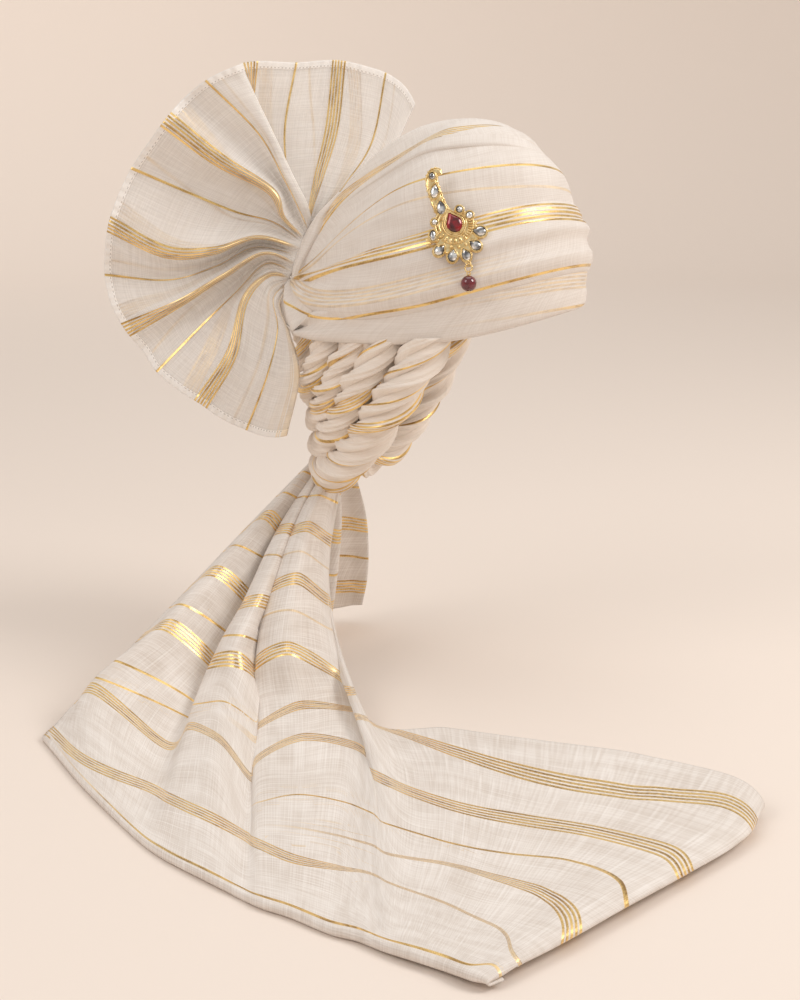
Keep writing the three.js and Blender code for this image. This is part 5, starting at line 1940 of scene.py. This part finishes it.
    def build_drop(self) -> None:
        """Builds the jump rings, the headed pin and the bead."""
        angle = np.linspace(0.0, math.tau, 41)
        rings = bmesh.new()
        centre_y = self.eye[1] - self.ring_radius
        for shift, turn in self.ring_turns:
            path = np.stack([
                self.eye[0] + self.ring_radius * np.sin(angle) * math.sin(turn),
                centre_y + self.ring_radius * np.cos(angle),
                self.eye[2] + shift + self.ring_radius * np.sin(angle) * math.cos(turn),
            ], -1)
            self.wire(rings, path, self.ring_wire)
        self.finish_piece(rings, "double_jump_ring", self.gold, ("drop_ring",), True)
        pin = bmesh.new()
        top = self.bead_y + self.bead_radius
        loop = self.arc((self.eye[0], top + 1.5, self.eye[2]), self.pin_loop, np.linspace(0.0, 360.0, 41))
        self.wire(pin, loop, self.pin_wire)
        self.granule(pin, (self.eye[0], top + 0.2, self.eye[2]), (1.3, 0.6, 1.3))
        self.granule(pin, (self.eye[0], self.bead_y - self.bead_radius - 0.3, self.eye[2]), (1.5, 0.8, 1.5))
        self.finish_piece(pin, "headed_pin", self.gold, ("drop_pin",), True)
        bead = bmesh.new()
        middle = Matrix.Translation((self.eye[0], self.bead_y, self.eye[2]))
        bmesh.ops.create_uvsphere(bead, u_segments=48, v_segments=28, radius=self.bead_radius, matrix=middle)
        self.finish_piece(bead, "glossy_bead", self.bead, ("drop_bead",), True)


@dataclass(frozen=True)
class Softbox:
    """One soft studio light."""

    name: str
    place: Triple
    size: float
    power: float
    colour: Triple


@dataclass
class Studio:
    """The sweep, the lights and the camera."""

    sweep: Material
    floor: float = -0.2512
    floor_radius: float = 2.4
    bend_radius: float = 0.9
    wall_height: float = 1.0
    sight: Sight = Sight()
    sensor: float = 36.0
    picture_height: float = 1000.0
    softboxes: tuple[Softbox, ...] = (
        Softbox("key_light", (0.45, -1.5, 1.25), 1.0, 18.0, (1.0, 0.97, 0.94)),
        Softbox("fill_light", (-1.6, 0.5, 1.2), 1.0, 7.0, (1.0, 0.97, 0.95)),
        Softbox("top_light", (0.2, 0.1, 1.9), 1.5, 6.0, (1.0, 0.97, 0.94)),
    )
    sky: Colour = (1.0, 0.96, 0.92, 1.0)
    sky_strength: float = 0.62
    aim: Triple = (-0.08, -0.05, -0.05)
    backdrop_place: Triple = (1.3, 2.0, 1.9)
    backdrop_aim: Triple = (2.4, 3.3, 0.5)
    backdrop_power: float = 12.0

    def build(self) -> None:
        """Builds the sweep, the lights, the sky and the camera."""
        self.build_sweep()
        for box in self.softboxes:
            self.build_light(box, self.aim)
        behind = Softbox("backdrop_light", self.backdrop_place, 1.2, self.backdrop_power, (1.0, 0.97, 0.94))
        self.build_light(behind, self.backdrop_aim)
        self.build_sky()
        self.build_camera()

    def build_sweep(self) -> None:
        """Builds the round floor that bends up into a wall."""
        bowl = bmesh.new()
        angles = np.linspace(0.0, math.pi / 2.0, 16)
        bend = self.bend_radius
        profile = [(0.0, 0.0)]
        profile += [
            (self.floor_radius + bend * math.sin(angle), bend * (1.0 - math.cos(angle))) for angle in angles
        ]
        profile.append((self.floor_radius + bend, self.wall_height))
        line = [bowl.verts.new((reach, 0.0, self.floor + height)) for reach, height in profile]
        edges = [bowl.edges.new(pair) for pair in zip(line, line[1:])]
        bmesh.ops.spin(bowl, geom=line + edges, axis=(0, 0, 1), cent=(0, 0, 0), angle=math.tau, steps=96,
                       use_merge=True)
        bmesh.ops.remove_doubles(bowl, verts=bowl.verts, dist=0.0001)
        bmesh.ops.recalc_face_normals(bowl, faces=bowl.faces)
        if min(bowl.faces, key=lambda face: face.calc_center_median().length).normal.z < 0.0:
            bmesh.ops.reverse_faces(bowl, faces=bowl.faces)
        for face in bowl.faces:
            face.smooth = True
        mesh = bpy.data.meshes.new("studio_floor")
        bowl.to_mesh(mesh)
        bowl.free()
        mesh.materials.append(self.sweep)
        link("studio_floor", mesh)

    def build_light(self, box: Softbox, aim: Triple) -> None:
        """Builds one softbox.

        Args:
            box: The softbox.
            aim: The place that it faces.
        """
        lamp = bpy.data.lights.new(box.name, "AREA")
        lamp.shape = "DISK"
        lamp.size = box.size
        lamp.energy = box.power
        lamp.color = box.colour
        light = link(box.name, lamp)
        light.location = box.place
        light.rotation_euler = (Vector(aim) - Vector(box.place)).to_track_quat("-Z", "Y").to_euler()
        light.visible_camera = False

    def build_sky(self) -> None:
        """Builds the even light from all round."""
        world = bpy.data.worlds.new("studio_air")
        world.use_nodes = True
        air = world.node_tree.nodes["Background"]
        air.inputs[0].default_value = self.sky
        air.inputs[1].default_value = self.sky_strength
        bpy.context.scene.world = world
        bpy.context.scene.view_settings.view_transform = "Standard"

    def build_camera(self) -> None:
        """Builds the camera."""
        lens = bpy.data.cameras.new("camera")
        lens.lens = self.sight.lens * self.sensor / self.picture_height
        lens.sensor_width = self.sensor
        lens.clip_start = 0.02
        camera = link("camera", lens)
        back = -Vector(self.sight.forward)
        top = Vector(self.sight.up)
        right = top.cross(back)
        turned = Matrix((right, top, back)).transposed().to_4x4()
        camera.matrix_world = Matrix.Translation(self.sight.eye) @ turned
        bpy.context.scene.camera = camera


def main() -> None:
    """Builds the turban, dresses it and sets the studio round it."""
    logging.basicConfig(level=logging.INFO, format="%(message)s")
    close_cloth = ClothFinish("ivory_close", Sheerness.CLOSE).material()
    # The ropes' threads are lighter than the crown's cloth, painted light over the shade among the ropes,
    # and warmer in tone.
    warm_with_painted_light = {"thread": (0.92, 0.85, 0.78, 1.0), "shade": (0.80, 0.70, 0.61, 1.0)}
    # The fan's two sheets get near-white threads, lighter than the crown's cloth: painted light that stands
    # in for light shining through the sheer cloth.
    bright = {"thread": (1.0, 0.97, 0.94, 1.0), "shade": (0.96, 0.91, 0.86, 1.0)}
    tail_cloth = ClothFinish(
        "ivory_slub", Sheerness.CLOSE, (0.85, 0.80, 0.755, 1.0), (0.64, 0.565, 0.50, 1.0), 0.24, 0.36,
    ).material()
    rope_cloth = ClothFinish("ivory_rope", Sheerness.CLOSE, **warm_with_painted_light).material()
    sheer_cloth = ClothFinish("ivory_sheer", Sheerness.SHEER, hemmed=True, **bright).material()
    veil_cloth = ClothFinish("ivory_veil", Sheerness.VEIL, **bright).material()
    gold = MetalFinish().material()
    # The crystal's deep and light colours are painted dark and light reflections on its foil.
    clear, red, bead = (finish.material() for finish in (
        StoneFinish("foiled_crystal", (0.15, 0.15, 0.16, 1.0), (0.93, 0.93, 0.92, 1.0), 1.0, 190.0),
        StoneFinish("foiled_red", (0.06, 0.0, 0.003, 1.0), (0.34, 0.0, 0.006, 1.0), 0.3, 120.0),
        StoneFinish("red_glaze", (0.10, 0.001, 0.008, 1.0), (0.16, 0.002, 0.012, 1.0), 0.0, 220.0),
    ))
    Crown(close_cloth).build()
    Fan(sheer_cloth, veil_cloth, close_cloth).build()
    NapeRopes(rope_cloth).build()
    Tail(tail_cloth).build()
    Brooch(gold, clear, red, bead).build()
    Studio(FloorFinish().material()).build()


if __name__ == "__main__":
    main()
